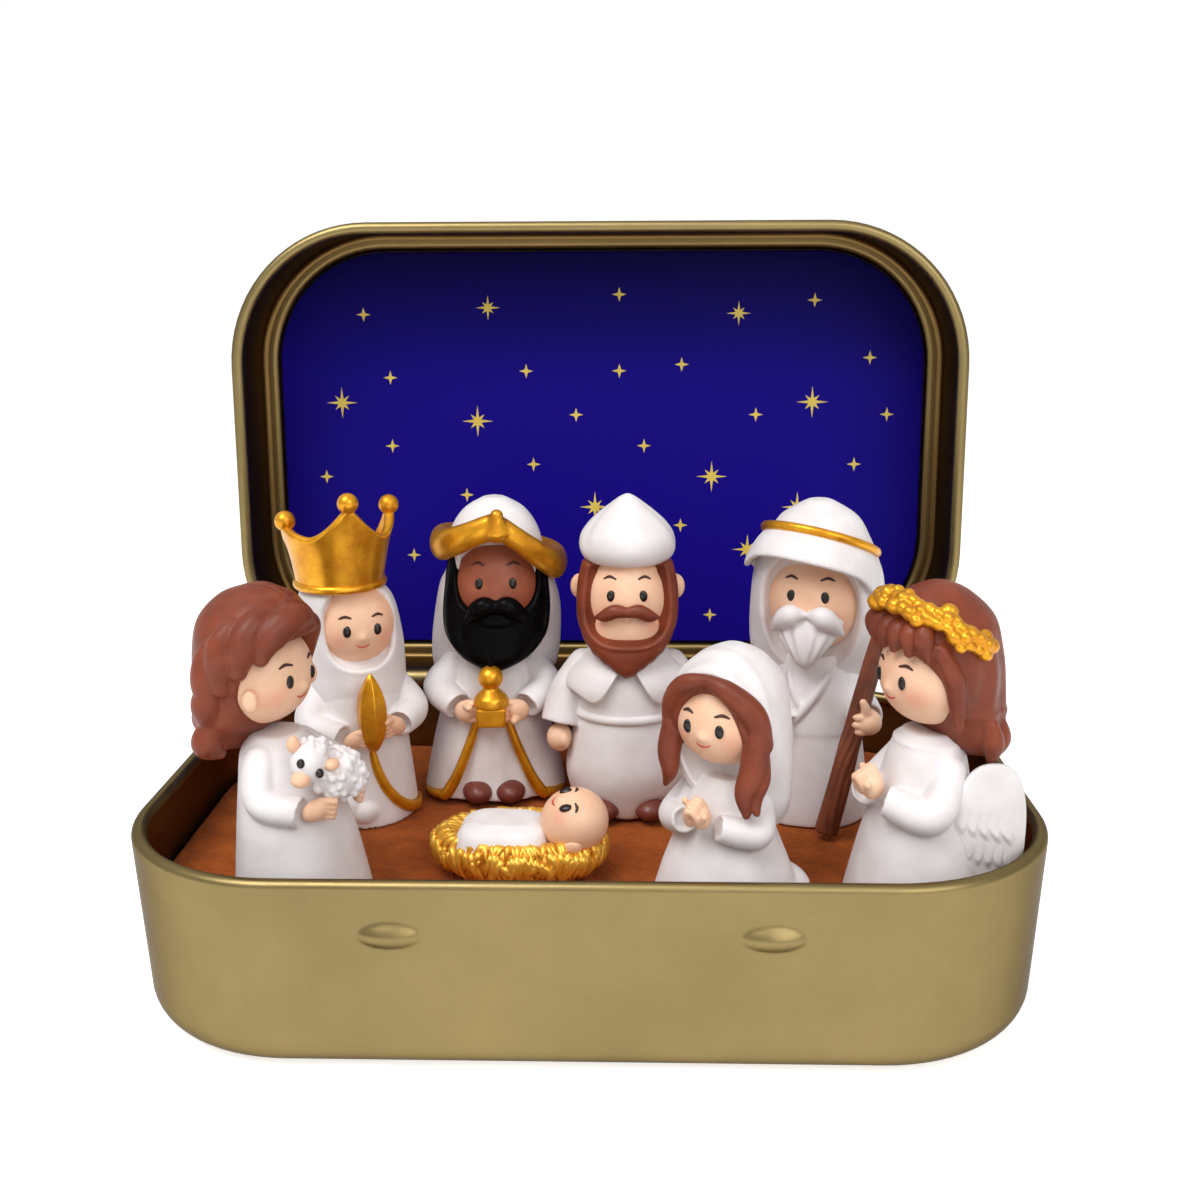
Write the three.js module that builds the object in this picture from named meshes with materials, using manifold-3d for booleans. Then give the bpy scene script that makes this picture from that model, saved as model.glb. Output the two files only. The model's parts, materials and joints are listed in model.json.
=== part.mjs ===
// Nativity tin box: a hinged gold tin, open, with a star-printed card glued in its lid and eight loose
// figures standing on a brown floor insert.
// Millimetres, +Z up, front towards -Y, origin under the middle of the tray.
import * as THREE from 'three';
import { mergeVertices } from 'three/addons/utils/BufferGeometryUtils.js';
import Module from 'manifold-3d';

const wasm = await Module();
wasm.setup();

// Driving dimensions of the tin
const TIN_WIDTH = 110;
const TIN_DEPTH = 70;
const TRAY_HEIGHT = 24;
const CORNER_RADIUS = 21;
const CORNER_STEPS = 5;
const SHEET = 0.5;
const RIM_RADIUS = 0.9;
const WALL_TAPER = 0.9;
const BOTTOM_RADIUS = 4.5;
const LID_DEPTH = 17.2;
const LID_SHOULDER = 15.1;
const LID_OPEN = 93;
const GAP = 0.3;

// The hinge: two tabs of the tray's rim curl round the lid's rear rim, which is the axle
const HINGE_Y = TIN_DEPTH / 2 - RIM_RADIUS;
const HINGE_Z = TRAY_HEIGHT + GAP + RIM_RADIUS;
const TAB_X = 27;
const TAB_WIDTH = 10;
const TAB_INNER = RIM_RADIUS + GAP;
const TAB_OUTER = TAB_INNER + 0.55;
const TAB_ARC = [-100, 205];
const WINDOW_SIDE_PLAY = 0.4;
const WINDOW_REACH = 2.3;

// Two bumps pressed out of the front wall
const BUMP_X = 20.9;
const BUMP_DROP = 6.4;
const BUMP_SIZE = [4.1, 1.5, 1.7];
const BUMP_HOLLOW = [3.5, 1.0, 1.2];
const BUMP_WALL_INSET = 0.25;

// What lies in the tin
const INSERT_TOP = 14.5;
const INSERT_PLAY = 0.4;
const CARD_INSET = 3.4;
const CARD_THICKNESS = 0.4;
const FIGURE_BASE = INSERT_TOP + GAP;
const SMALL_FACETS = [8, 5];

// The crown's points, as angles in degrees, and its upper edge, as angles and heights
const CROWN_POINTS = [-180, -90, 0];
const CROWN_EDGE = [
  [-180, 8.4], [-135, 4.8], [-90, 11.4], [-45, 6.2], [0, 9.6], [45, 4], [135, 4], [180, 8.4]];

// Finishes
const finish = (color, roughness, metalness = 0) => (
  new THREE.MeshStandardMaterial({ color, roughness, metalness }));
const GOLD_TIN = finish('#b09d62', 0.38, 1);
const NIGHT_PRINT = finish('#1a1070', 0.35);
const BROWN_SUEDE = finish('#91502a', 0.95);
const WHITE_PAINT = finish('#e8e6e8', 0.6);
const SKIN_PAINT = finish('#f5d2b4', 0.55);
const DARK_SKIN_PAINT = finish('#96503a', 0.55);
const CHESTNUT_PAINT = finish('#8c4b37', 0.5);
const BLACK_PAINT = finish('#141214', 0.3);
const GOLD_PAINT = finish('#c8911e', 0.35, 0.7);
const SHOE_PAINT = finish('#6e372d', 0.5);
const STAFF_PAINT = finish('#784128', 0.55);

const radians = THREE.MathUtils.degToRad;
const clamp = THREE.MathUtils.clamp;

// Solids: join and cut take geometries or solids

function toSolid(shape) {
  if (!shape.isBufferGeometry) return shape;
  const bare = shape.clone();
  bare.deleteAttribute('normal');
  bare.deleteAttribute('uv');
  const merged = mergeVertices(bare, 1e-4);
  return new wasm.Manifold(new wasm.Mesh({
    numProp: 3,
    vertProperties: merged.attributes.position.array,
    triVerts: Uint32Array.from(merged.index.array),
  }));
}

const join = (...shapes) => shapes.map(toSolid).reduce((whole, part) => whole.add(part));
const cut = (shape, ...tools) => (
  tools.map(toSolid).reduce((rest, tool) => rest.subtract(tool), toSolid(shape)));
const mainBody = (solid) => solid.decompose().sort((a, b) => b.volume() - a.volume())[0];

function piece(name, shape, material) {
  const { vertProperties, triVerts } = mainBody(toSolid(shape)).getMesh();
  const geometry = new THREE.BufferGeometry();
  geometry.setAttribute('position', new THREE.BufferAttribute(vertProperties, 3));
  geometry.setIndex(new THREE.BufferAttribute(triVerts, 1));
  geometry.computeVertexNormals();
  const mesh = new THREE.Mesh(geometry, material);
  mesh.name = name;
  return mesh;
}

// Shapes

// Closed skin over a run of rings. The ends get flat caps, unless the run closes on itself.
function skin(rings, looped = false) {
  const sides = rings[0].length;
  const position = rings.flat().flatMap((point) => point.toArray());
  const index = [];
  const at = (i, j) => (i % rings.length) * sides + (j % sides);
  for (let i = 0; i < rings.length - (looped ? 0 : 1); i++) {
    for (let j = 0; j < sides; j++) {
      index.push(at(i, j), at(i, j + 1), at(i + 1, j + 1));
      index.push(at(i, j), at(i + 1, j + 1), at(i + 1, j));
    }
  }
  const cap = (i, edge) => {
    const middle = rings[i].reduce((sum, point) => sum.add(point), new THREE.Vector3()).divideScalar(sides);
    const centre = position.length / 3;
    position.push(...middle.toArray());
    for (let j = 0; j < sides; j++) index.push(centre, ...edge(j));
  };
  if (!looped) {
    cap(0, (j) => [at(0, j + 1), at(0, j)]);
    cap(rings.length - 1, (j) => [at(rings.length - 1, j), at(rings.length - 1, j + 1)]);
  }
  const geometry = new THREE.BufferGeometry();
  geometry.setAttribute('position', new THREE.Float32BufferAttribute(position, 3));
  geometry.setIndex(index);
  return geometry;
}

// Rows of numbers on the smooth curve through the given rows
function curveThrough(rows, steps) {
  const row = (i) => rows[clamp(i, 0, rows.length - 1)];
  const out = [];
  for (let i = 0; i < rows.length - 1; i++) {
    for (let s = 0; s < steps; s++) {
      const t = s / steps;
      out.push(row(i).map((b, k) => {
        const [a, c, d] = [row(i - 1)[k], row(i + 1)[k], row(i + 2)[k]];
        return b + 0.5 * t * (c - a + t * (2 * a - 5 * b + 4 * c - d + t * (3 * (b - c) + d - a)));
      }));
    }
  }
  return [...out, rows.at(-1)];
}

// Upright form through level outlines [z, rx, ry, cx, cy]. More steps round its flanks between the levels,
// and flutes are shallow upright grooves.
function form(levels, { sides = 10, steps = 1, grow = 0, flutes = 0, fluteDepth = 0 } = {}) {
  const last = levels.length - 1;
  const rows = levels.map(([z, rx, ry = rx, cx = 0, cy = 0], i) => {
    const lift = grow * ((i === last) - (i === 0));
    return [z + lift, rx + grow, ry + grow, cx, cy];
  });
  const ring = ([z, rx, ry, cx, cy]) => Array.from({ length: sides }, (_, j) => {
    const a = 2 * Math.PI * j / sides;
    const dip = 1 - fluteDepth * (1 - Math.abs(Math.sin(flutes * a / 2)));
    return new THREE.Vector3(cx + rx * dip * Math.cos(a), cy + ry * dip * Math.sin(a), z);
  });
  return skin(curveThrough(rows, steps).map(ring));
}

// Egg or ball with radii along x, y and z
function ball([rx, ry, rz], [x, y, z], grow = 0, sides = 9, rows = 6) {
  const geometry = new THREE.SphereGeometry(1, sides, rows).rotateX(Math.PI / 2);
  return geometry.scale(rx + grow, ry + grow, rz + grow).translate(x, y, z);
}

// Round limb along a smooth path, its radius changing evenly from start to end, with domed ends
function limb(points, [startRadius, endRadius], grow = 0, sides = 6, steps = 2) {
  const path = new THREE.CatmullRomCurve3(points.map((point) => new THREE.Vector3(...point)));
  const { tangents, normals, binormals } = path.computeFrenetFrames(steps);
  const ring = (i, along, scale) => {
    const radius = THREE.MathUtils.lerp(startRadius, endRadius, i / steps) + grow;
    const centre = path.getPointAt(i / steps).addScaledVector(tangents[i], along * radius);
    return Array.from({ length: sides }, (_, j) => {
      const a = 2 * Math.PI * j / sides;
      return centre.clone()
        .addScaledVector(normals[i], radius * scale * Math.cos(a))
        .addScaledVector(binormals[i], radius * scale * Math.sin(a));
    });
  };
  const [domeReach, domeWidth] = [0.8, 0.55];
  return skin([
    ring(0, -domeReach, domeWidth),
    ...Array.from({ length: steps + 1 }, (_, i) => ring(i, 0, 1)),
    ring(steps, domeReach, domeWidth),
  ]);
}

// A path on the figure's left and the same path on its right
const bothSides = (points) => [points, points.map(([x, y, z]) => [-x, y, z])];

// Roll round a level egg-shaped line: a band or a ring on a headdress. At the angle a it is lifted by
// rise(a) and its thickness is multiplied by swell(a).
function roll([rx, ry], [thick, tall], options) {
  const { rise, swell, grow, sides, facets } = {
    rise: () => 0, swell: () => 1, sides: 16, facets: 5, ...options };
  const rings = Array.from({ length: facets }, (_, i) => {
    const b = 2 * Math.PI * i / facets;
    return Array.from({ length: sides }, (__, j) => {
      const a = 2 * Math.PI * j / sides;
      const out = (thick * swell(a) + grow) * Math.cos(b);
      const up = (tall * swell(a) + grow) * Math.sin(b);
      return new THREE.Vector3((rx + out) * Math.cos(a), (ry + out) * Math.sin(a), rise(a) + up);
    });
  });
  return skin(rings, true);
}

// The tin

// Ring that follows the tin's outline, drawn in by inset, at height z
function tinRing(inset, z) {
  const quarter = Math.PI / 2;
  return [[1, 1], [-1, 1], [-1, -1], [1, -1]].flatMap(([sx, sy], corner) => (
    Array.from({ length: CORNER_STEPS + 1 }, (_, i) => {
      const a = (corner + i / CORNER_STEPS) * quarter;
      const radius = CORNER_RADIUS - inset;
      const x = sx * (TIN_WIDTH / 2 - CORNER_RADIUS) + radius * Math.cos(a);
      const y = sy * (TIN_DEPTH / 2 - CORNER_RADIUS) + radius * Math.sin(a);
      return new THREE.Vector3(x, y, z);
    })
  ));
}

// Arc of a profile, as [inset, z] points from one angle to another, in degrees
function arc(inset, z, radius, from, to, steps) {
  return Array.from({ length: steps + 1 }, (_, i) => {
    const a = radians(from + (to - from) * i / steps);
    return [inset - radius * Math.cos(a), z + radius * Math.sin(a)];
  });
}

const pan = (profile) => skin(profile.map(([inset, z]) => tinRing(inset, z)));
const wallInset = (z) => WALL_TAPER * (1 - z / TRAY_HEIGHT);

// Strip in the y-z plane, turned to run along x and centred there
function acrossX(shape, width) {
  const turn = new THREE.Matrix4().makeBasis(
    new THREE.Vector3(0, 1, 0), new THREE.Vector3(0, 0, 1), new THREE.Vector3(1, 0, 0));
  const options = { depth: width, bevelEnabled: false, curveSegments: 6 };
  return new THREE.ExtrudeGeometry(shape, options).translate(0, 0, -width / 2).applyMatrix4(turn);
}

function hingeTab(x) {
  const [from, to] = TAB_ARC.map(radians);
  const curl = new THREE.Shape();
  curl.absarc(0, 0, TAB_OUTER, from, to, false);
  curl.absarc(0, 0, TAB_INNER, to, from, true);
  return acrossX(curl, TAB_WIDTH).translate(x, HINGE_Y, HINGE_Z);
}

function tinTray() {
  const bottom = WALL_TAPER + BOTTOM_RADIUS;
  const shell = pan([
    ...arc(bottom, BOTTOM_RADIUS, BOTTOM_RADIUS, -90, -8, 3),
    ...arc(RIM_RADIUS, TRAY_HEIGHT - RIM_RADIUS, RIM_RADIUS, 0, 230, 5),
    [wallInset(TRAY_HEIGHT - 2) + SHEET, TRAY_HEIGHT - 2],
    ...arc(bottom, BOTTOM_RADIUS, BOTTOM_RADIUS - SHEET, -8, -90, 3),
  ]);
  const front = -TIN_DEPTH / 2 + BUMP_WALL_INSET;
  const bumpPlaces = [-BUMP_X, BUMP_X].map((x) => [x, front, TRAY_HEIGHT - BUMP_DROP]);
  const bumps = bumpPlaces.map((place) => ball(BUMP_SIZE, place, 0, 10, 6));
  const hollows = bumpPlaces.map(([x, y, z]) => ball(BUMP_HOLLOW, [x, y + SHEET / 2, z], 0, ...SMALL_FACETS));
  const tabs = [-TAB_X, TAB_X].map(hingeTab);
  return piece('tin_tray', cut(join(shell, ...bumps, ...tabs), ...hollows), GOLD_TIN);
}

// The lid is drawn closed, about its hinge line, and its group swings it open
function tinLid() {
  const ridge = 0.9;
  const fold = 1.5;
  const step = CARD_INSET - GAP;
  const shell = pan([
    [step, LID_DEPTH - SHEET],
    ...arc(step - ridge, LID_SHOULDER + ridge, ridge, 180, 270, 2),
    ...arc(SHEET + fold - 0.4, LID_SHOULDER - ridge, ridge, 90, 0, 1),
    [SHEET + 0.05, 2 * RIM_RADIUS],
    ...arc(RIM_RADIUS, 0, RIM_RADIUS, 130, 360, 4),
    ...arc(fold + 0.2, LID_SHOULDER + SHEET - fold, fold, 0, 90, 2),
    ...arc(step - 2 * SHEET, LID_SHOULDER + 2 * SHEET, SHEET, 270, 180, 1),
    ...arc(step, LID_DEPTH - SHEET, SHEET, 0, 90, 1),
  ]).translate(0, -HINGE_Y, 0);
  const windows = [-TAB_X, TAB_X].map((x) => {
    const opening = new THREE.BoxGeometry(TAB_WIDTH + 2 * WINDOW_SIDE_PLAY, 2, WINDOW_REACH);
    const axle = form([[-TAB_WIDTH, RIM_RADIUS], [TAB_WIDTH, RIM_RADIUS]], { sides: 8 });
    axle.rotateY(Math.PI / 2).translate(x, 0, 0);
    return cut(opening.translate(x, 0.2, WINDOW_REACH / 2), axle);
  });
  return piece('tin_lid', cut(shell, ...windows), GOLD_TIN);
}

function starCard() {
  const face = LID_DEPTH - SHEET - GAP - CARD_THICKNESS;
  const sheet = pan([[CARD_INSET, face], [CARD_INSET, face + CARD_THICKNESS]]).translate(0, -HINGE_Y, 0);
  return piece('star_card', sheet, NIGHT_PRINT);
}

function openLid() {
  const lid = new THREE.Group();
  lid.add(tinLid(), starCard());
  lid.position.set(0, HINGE_Y, HINGE_Z);
  lid.rotation.x = -radians(LID_OPEN);
  return lid;
}

function floorInsert() {
  const side = (z) => wallInset(z) + SHEET + INSERT_PLAY;
  const block = pan([
    [WALL_TAPER + BOTTOM_RADIUS + INSERT_PLAY, SHEET + GAP],
    [side(0) + 1.2, 2],
    [side(0) - 0.2, BOTTOM_RADIUS + GAP],
    [side(INSERT_TOP), INSERT_TOP - 0.6],
    [side(INSERT_TOP) + 0.6, INSERT_TOP],
  ]);
  return piece('floor_insert', block, BROWN_SUEDE);
}

// Figures

// A figure faces -Y before it is turned. Its pieces are listed in the order in which they keep their form:
// each later piece is cut round the earlier ones, with the gap that a glued joint has.
function figure([x, y, turn], pieces) {
  const stand = new THREE.Group();
  pieces.forEach(([name, shape, material], i) => {
    const earlier = pieces.slice(0, i).map(([, other]) => other(GAP));
    stand.add(piece(name, cut(shape(0), ...earlier), material));
  });
  stand.position.set(x, y, FIGURE_BASE);
  stand.rotation.z = radians(turn);
  return stand;
}

// Hair, beard, hood or scarf with an egg-shaped opening that frames the face
const openFace = (shape, size, place) => cut(shape, ball(size, place, 0, ...SMALL_FACETS));

// What a figure's list holds: makers of a shape, which is grown where it cuts a later piece
const egg = (size, place, facets = []) => (grow) => ball(size, place, grow, ...facets);
const framing = (levels, size, place) => (grow) => openFace(form(levels, { grow }), size, place);
const sleeved = (levels, arms, radii) => (grow) => (
  join(form(levels, { grow }), ...arms.map((arm) => limb(arm, radii, grow))));

// Two toes under a hem, on one flat sole
function shoes([soleX, soleY], [toeX, toeY], grow) {
  const sole = form([[0, soleX - 0.4, soleY - 0.4], [0.7, soleX, soleY]], { sides: 10, grow });
  const toes = [-toeX, toeX].map((x) => ball([2.5, 3, 1.4], [x, toeY, 1.4], grow, ...SMALL_FACETS));
  return join(sole, ...toes);
}

function shepherd() {
  const robe = [
    [0, 8.4, 8], [9, 7.2, 6.8, 0, 0.6], [15, 5.9, 5.4, 0, 1.5], [19, 4.8, 4.3, 0, 2.2], [21, 3, 2.8, 0, 2.4]];
  const nearArm = [[-3.9, 2.1, 18.4], [-5.8, 0.9, 14.4], [-4.9, -3.4, 13.4]];
  const farArm = [[4.1, 2.1, 18.2], [5.4, -2.2, 15.6], [2.8, -5.4, 15]];
  const hair = [
    [19.4, 4.6, 2.8, 0, 8.2], [22, 6.5, 4.3, 0, 7.6], [26, 6.9, 5.7, 0, 6.2], [30.5, 7.3, 7, 0, 4.9],
    [34.6, 6.6, 6.6, 0, 4.4], [37.3, 4, 4.2, 0, 4.2], [38.5, 1.3, 1.3, 0, 4.2]];
  const lamb = [
    [[3.4, 3, 3.1], [-1.6, -6.8, 17.4], 7],
    [[2.5, 2.4, 2.5], [-4.7, -5.1, 19.7], 7],
    [[1.2, 1.2, 1], [-6.7, -5.2, 18.2], 6],
    [[1.1, 0.9, 1], [-5.8, -3.8, 22.2], 5],
    [[1.1, 1, 0.8], [-3.9, -7.8, 19.4], 5]];
  const woolly = (g) => join(...lamb.map(([size, at, sides]) => ball(size, at, g, sides, sides - 2)));
  const hands = [[-4.6, -5.2, 13.6], [-2, -7.4, 12.9], [1.2, -7.6, 14.4]];
  return figure([-33.8, -20, 70], [
    ['shepherd_head', egg([6.2, 6, 6.1], [0, 4.2, 28]), SKIN_PAINT],
    ['shepherd_lamb', woolly, WHITE_PAINT],
    ['shepherd_hands', (g) => limb(hands, [1.7, 1.5], g), SKIN_PAINT],
    ['shepherd_hair', framing(hair, [14, 9, 8], [0, -4.4, 26]), CHESTNUT_PAINT],
    ['shepherd_robe', sleeved(robe, [nearArm, farArm], [2, 1.8]), WHITE_PAINT],
  ]);
}

// Flared ring with a banded foot, three points in front with a ball on each, and a low back. Its upper edge
// eases from each height of CROWN_EDGE to the next, given with their angles in degrees.
function crown(grow) {
  const [base, flare, tip, facets] = [5.4, 0.165, 1.35, 16];
  const height = (degrees) => {
    const next = Math.max(1, CROWN_EDGE.findIndex(([angle]) => angle >= degrees));
    const [[from, low], [to, high]] = [CROWN_EDGE[next - 1], CROWN_EDGE[next]];
    return low + (high - low) * (0.5 - 0.5 * Math.cos(Math.PI * (degrees - from) / (to - from)));
  };
  const ring = (thick, heightAt) => Array.from({ length: facets }, (_, j) => {
    const degrees = 360 * j / facets - 180;
    const radius = base + flare * heightAt(degrees) + thick;
    const a = radians(degrees);
    return new THREE.Vector3(radius * Math.cos(a), radius * Math.sin(a), heightAt(degrees));
  });
  const wall = skin([
    ring(1 + grow, () => -grow), ring(1 + grow, () => 1), ring(0.5 + grow, () => 1.2),
    ring(0.5 + grow, height), ring(-0.5, height), ring(-0.5, () => -grow)], true);
  const tips = CROWN_POINTS.map((degrees) => {
    const radius = base + flare * height(degrees);
    const a = radians(degrees);
    const top = [radius * Math.cos(a), radius * Math.sin(a), height(degrees) + 0.7];
    return ball([tip, tip, tip], top, grow, 5, 4);
  });
  return [wall, ...tips].map((part) => part.translate(-1.5, 0, 32.2));
}

function crownedKing() {
  const robe = [[0, 7.7, 7.3], [8, 7, 6.6], [13, 6.5, 6.1], [17.5, 6.2, 5.8], [20.4, 5.6, 5.2]];
  const leftArm = [[5, -0.4, 18], [6.9, -2.8, 14.8], [4.4, -6, 13.8]];
  const rightArm = [[-5, -0.4, 18], [-6.9, -2.8, 14.2], [-3.8, -6.2, 12.8]];
  const hood = [
    [18.8, 6.3, 5.8, 0, 0.6], [21.5, 6.9, 6.3, 0, 0.5], [25, 6.8, 6.5, -0.2, 0.4],
    [29.5, 6.4, 6.3, -0.7, 0.2], [31.9, 5.6, 5.6, -1.3, 0]];
  const bud = [[11.4, 0.6], [13, 1.5], [15.2, 1.95], [17.6, 2], [19.6, 1.5], [21.2, 0.7], [22, 0.1]];
  const hands = [[-2.6, -7.4, 12.8], [0.4, -6.2, 12.6], [3.6, -7.3, 14.1]];
  return figure([-32.2, 7.5, 24], [
    ['crowned_king_head', egg([5.7, 5.4, 5.9], [-0.1, -0.7, 27.2]), SKIN_PAINT],
    ['crowned_king_gift', (g) => form(bud, { sides: 8, grow: g }).translate(0, -8.6, 0), GOLD_PAINT],
    ['crowned_king_hands', (g) => limb(hands, [1.6, 1.7], g), SKIN_PAINT],
    ['crowned_king_hood', framing(hood, [5.4, 5.4, 6.4], [-0.1, -6.8, 27.8]), WHITE_PAINT],
    ['crowned_king_crown', (g) => join(...crown(g)), GOLD_PAINT],
    ['crowned_king_robe', sleeved(robe, [leftArm, rightArm], [2.1, 1.9]), WHITE_PAINT],
  ]);
}

function beardedKing() {
  const robe = [[1, 10, 7.8], [8, 8.6, 6.9], [14, 7, 5.8], [19.5, 5.2, 4.6], [22.8, 3, 3]];
  const arm = [[5, -0.2, 19], [7.4, -2.8, 16.2], [4.8, -6.2, 14.5]];
  const scarf = [
    [17.4, 8.6, 3.8, 0.2, 2.8], [21, 9, 4.8, 0.5, 2.1], [27, 8.8, 6.4, 0.9, 0.9], [30.5, 8.1, 6.6, 0.9, 0.5],
    [33, 6.8, 6.4, 0.8, 0.2], [37.6, 6.2, 6.1, 0.7, 0], [40.8, 4.3, 4.3, 0.7, 0], [42.6, 1.4, 1.4, 0.7, 0]];
  const jaw = [
    [19.4, 1.4, 1.1, 0.4, -5.7], [21.4, 4.9, 3, 0.6, -4.9], [24, 6.9, 3.8, 0.7, -3.7],
    [27, 7.4, 4.1, 0.8, -2.9], [30.5, 7.2, 3.6, 0.9, -2.2], [35.2, 6.4, 3, 0.9, -1.8]];
  const beard = (g) => join(
    openFace(form(jaw, { grow: g }), [7, 6.4, 7.8], [1, -8.2, 34.6]),
    ball([3.6, 1.4, 1.5], [0.8, -6.8, 28], g, ...SMALL_FACETS));
  const urn = [
    [12.8, 2.2], [15.2, 2.4], [16.6, 2.2], [17.8, 1.1], [19.3, 1.7], [20.6, 1.2], [21, 0.6], [22.2, 0.3]];
  const [peakHeight, peakAside, sideDrop] = [4.4, radians(6.5), 1.45];
  const rise = (a) => peakHeight * (0.5 - 0.5 * Math.sin(a + peakAside)) ** 2.5 - sideDrop * Math.cos(a);
  const swell = (a) => 0.84 + 0.2 * Math.cos(a) ** 2;
  const roller = (g) => roll([8.2, 8], [1.2, 2.1], { rise, swell, grow: g }).translate(1, 0, 34);
  const hand = (x) => egg([1.9, 1.8, 1.9], [x, -8, 14.2], SMALL_FACETS);
  return figure([-14.4, 15.6, 4], [
    ['bearded_king_head', egg([6.4, 6, 7.6], [0.9, -0.5, 30]), DARK_SKIN_PAINT],
    ['bearded_king_urn', (g) => form(urn, { grow: g }).translate(0, -8.9, 0), GOLD_PAINT],
    ['bearded_king_hand_left', hand(3.6), SKIN_PAINT],
    ['bearded_king_hand_right', hand(-3.6), SKIN_PAINT],
    ['bearded_king_beard', beard, BLACK_PAINT],
    ['bearded_king_scarf', framing(scarf, [7, 7, 11.8], [0.8, -8.4, 25.4]), WHITE_PAINT],
    ['bearded_king_band', (g) => join(roller(g), ball([1, 1, 1.3], [0.1, -8.4, 40.2], g, 5, 4)), GOLD_PAINT],
    ['bearded_king_shoes', (g) => shoes([8.6, 6.6], [2.3, -5.4], g), SHOE_PAINT],
    ['bearded_king_robe', sleeved(robe, bothSides(arm), [2.1, 2]), WHITE_PAINT],
  ]);
}

function keeper() {
  const body = [
    [1, 7.4, 6.6], [5.5, 8.5, 7.5], [13.4, 7, 6.2], [14.3, 7.7, 6.9],
    [15.2, 7, 6.2], [18.7, 7.2, 5.8], [18.9, 8.1, 6.3], [22.8, 4.6, 4.2]];
  const arm = [[6.2, 0.2, 20.6], [8.2, -0.6, 16.6], [9, -1.6, 12.8]];
  const turban = [
    [35.1, 5], [36, 6.2], [37.4, 6.5], [39, 6.1], [40.6, 4.9], [42.2, 3], [43.4, 1.4], [44, 0.3]];
  const beard = [
    [20.6, 0.7, 0.6, 0, -6], [22.4, 3.4, 2.2, 0, -5.2], [25.2, 5.8, 3.6, 0, -3.7], [28, 6.7, 4.4, 0, -2.7],
    [32, 6.7, 4.2, 0, -1.9], [34.6, 6.2, 3.6, 0, -1.7]];
  const moustache = [[0.2, -7, 29.3], [2.1, -6.9, 29.4], [4.4, -5.8, 28.4]];
  const twirled = (g) => join(...bothSides(moustache).map((side) => limb(side, [1.05, 0.5], g)));
  const ears = (g) => [-6.3, 6.3].map((x) => ball([1.2, 0.9, 1.6], [x, 0.3, 31.4], g, 6, 5));
  const hand = (x) => egg([1.7, 1.7, 2], [x, -2, 10.4], SMALL_FACETS);
  const folded = (grow) => form(turban, { sides: 12, grow, flutes: 6, fluteDepth: 0.05 });
  return figure([4.7, 9.4, 0], [
    ['keeper_head', (g) => join(ball([6, 5.9, 7.2], [0, -0.2, 29.8], g), ...ears(g)), SKIN_PAINT],
    ['keeper_turban', folded, WHITE_PAINT],
    ['keeper_beard', framing(beard, [6, 6.2, 6.6], [0, -8, 32.4]), CHESTNUT_PAINT],
    ['keeper_moustache', twirled, CHESTNUT_PAINT],
    ['keeper_hand_left', hand(9.3), SKIN_PAINT],
    ['keeper_hand_right', hand(-9.3), SKIN_PAINT],
    ['keeper_shoes', (g) => shoes([6.6, 5.8], [3.1, -5], g), SHOE_PAINT],
    ['keeper_tunic', sleeved(body, bothSides(arm), [2.3, 2.1]), WHITE_PAINT],
  ]);
}

function mother() {
  const robe = [[0, 8.9, 8.7], [5, 7.7, 7.4], [10, 5.8, 5.4], [14, 4.6, 4.2], [16.4, 2.8, 2.6]];
  const arm = [[4, -0.4, 14], [5.4, -2.9, 11.2], [2.2, -6, 12.2]];
  const lock = [[5.3, -2.8, 21.6], [5.6, -3.9, 18], [5.2, -4.6, 14.9]];
  const veil = [
    [10, 5.2, 3.2, 0, 3.6], [13, 6.6, 4.6, 0, 2.8], [18, 7.1, 5.9, 0, 1.5], [23, 7, 6.8, 0, 0.5],
    [27.5, 6.2, 6.4, 0, 0.4], [30.4, 3.9, 4.2, 0, 0.5], [31.8, 1.2, 1.2, 0, 0.7]];
  const hair = (g) => join(
    openFace(ball([6.2, 6, 6.1], [0, -0.4, 23.6], g), [5.4, 5.6, 5.8], [0, -7, 22.4]),
    ...bothSides(lock).map((side) => limb(side, [1.2, 1], g)));
  return figure([16.6, -20.2, -32], [
    ['mother_head', egg([5.7, 5.4, 5.5], [0, -0.9, 23.6]), SKIN_PAINT],
    ['mother_hair', hair, CHESTNUT_PAINT],
    ['mother_hands', egg([1.6, 1.4, 2.5], [0, -7.2, 13.8], SMALL_FACETS), SKIN_PAINT],
    ['mother_veil', framing(veil, [6.2, 6.8, 12.5], [0, -8.6, 19]), WHITE_PAINT],
    ['mother_robe', sleeved(robe, bothSides(arm), [1.8, 1.8]), WHITE_PAINT],
  ]);
}

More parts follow.
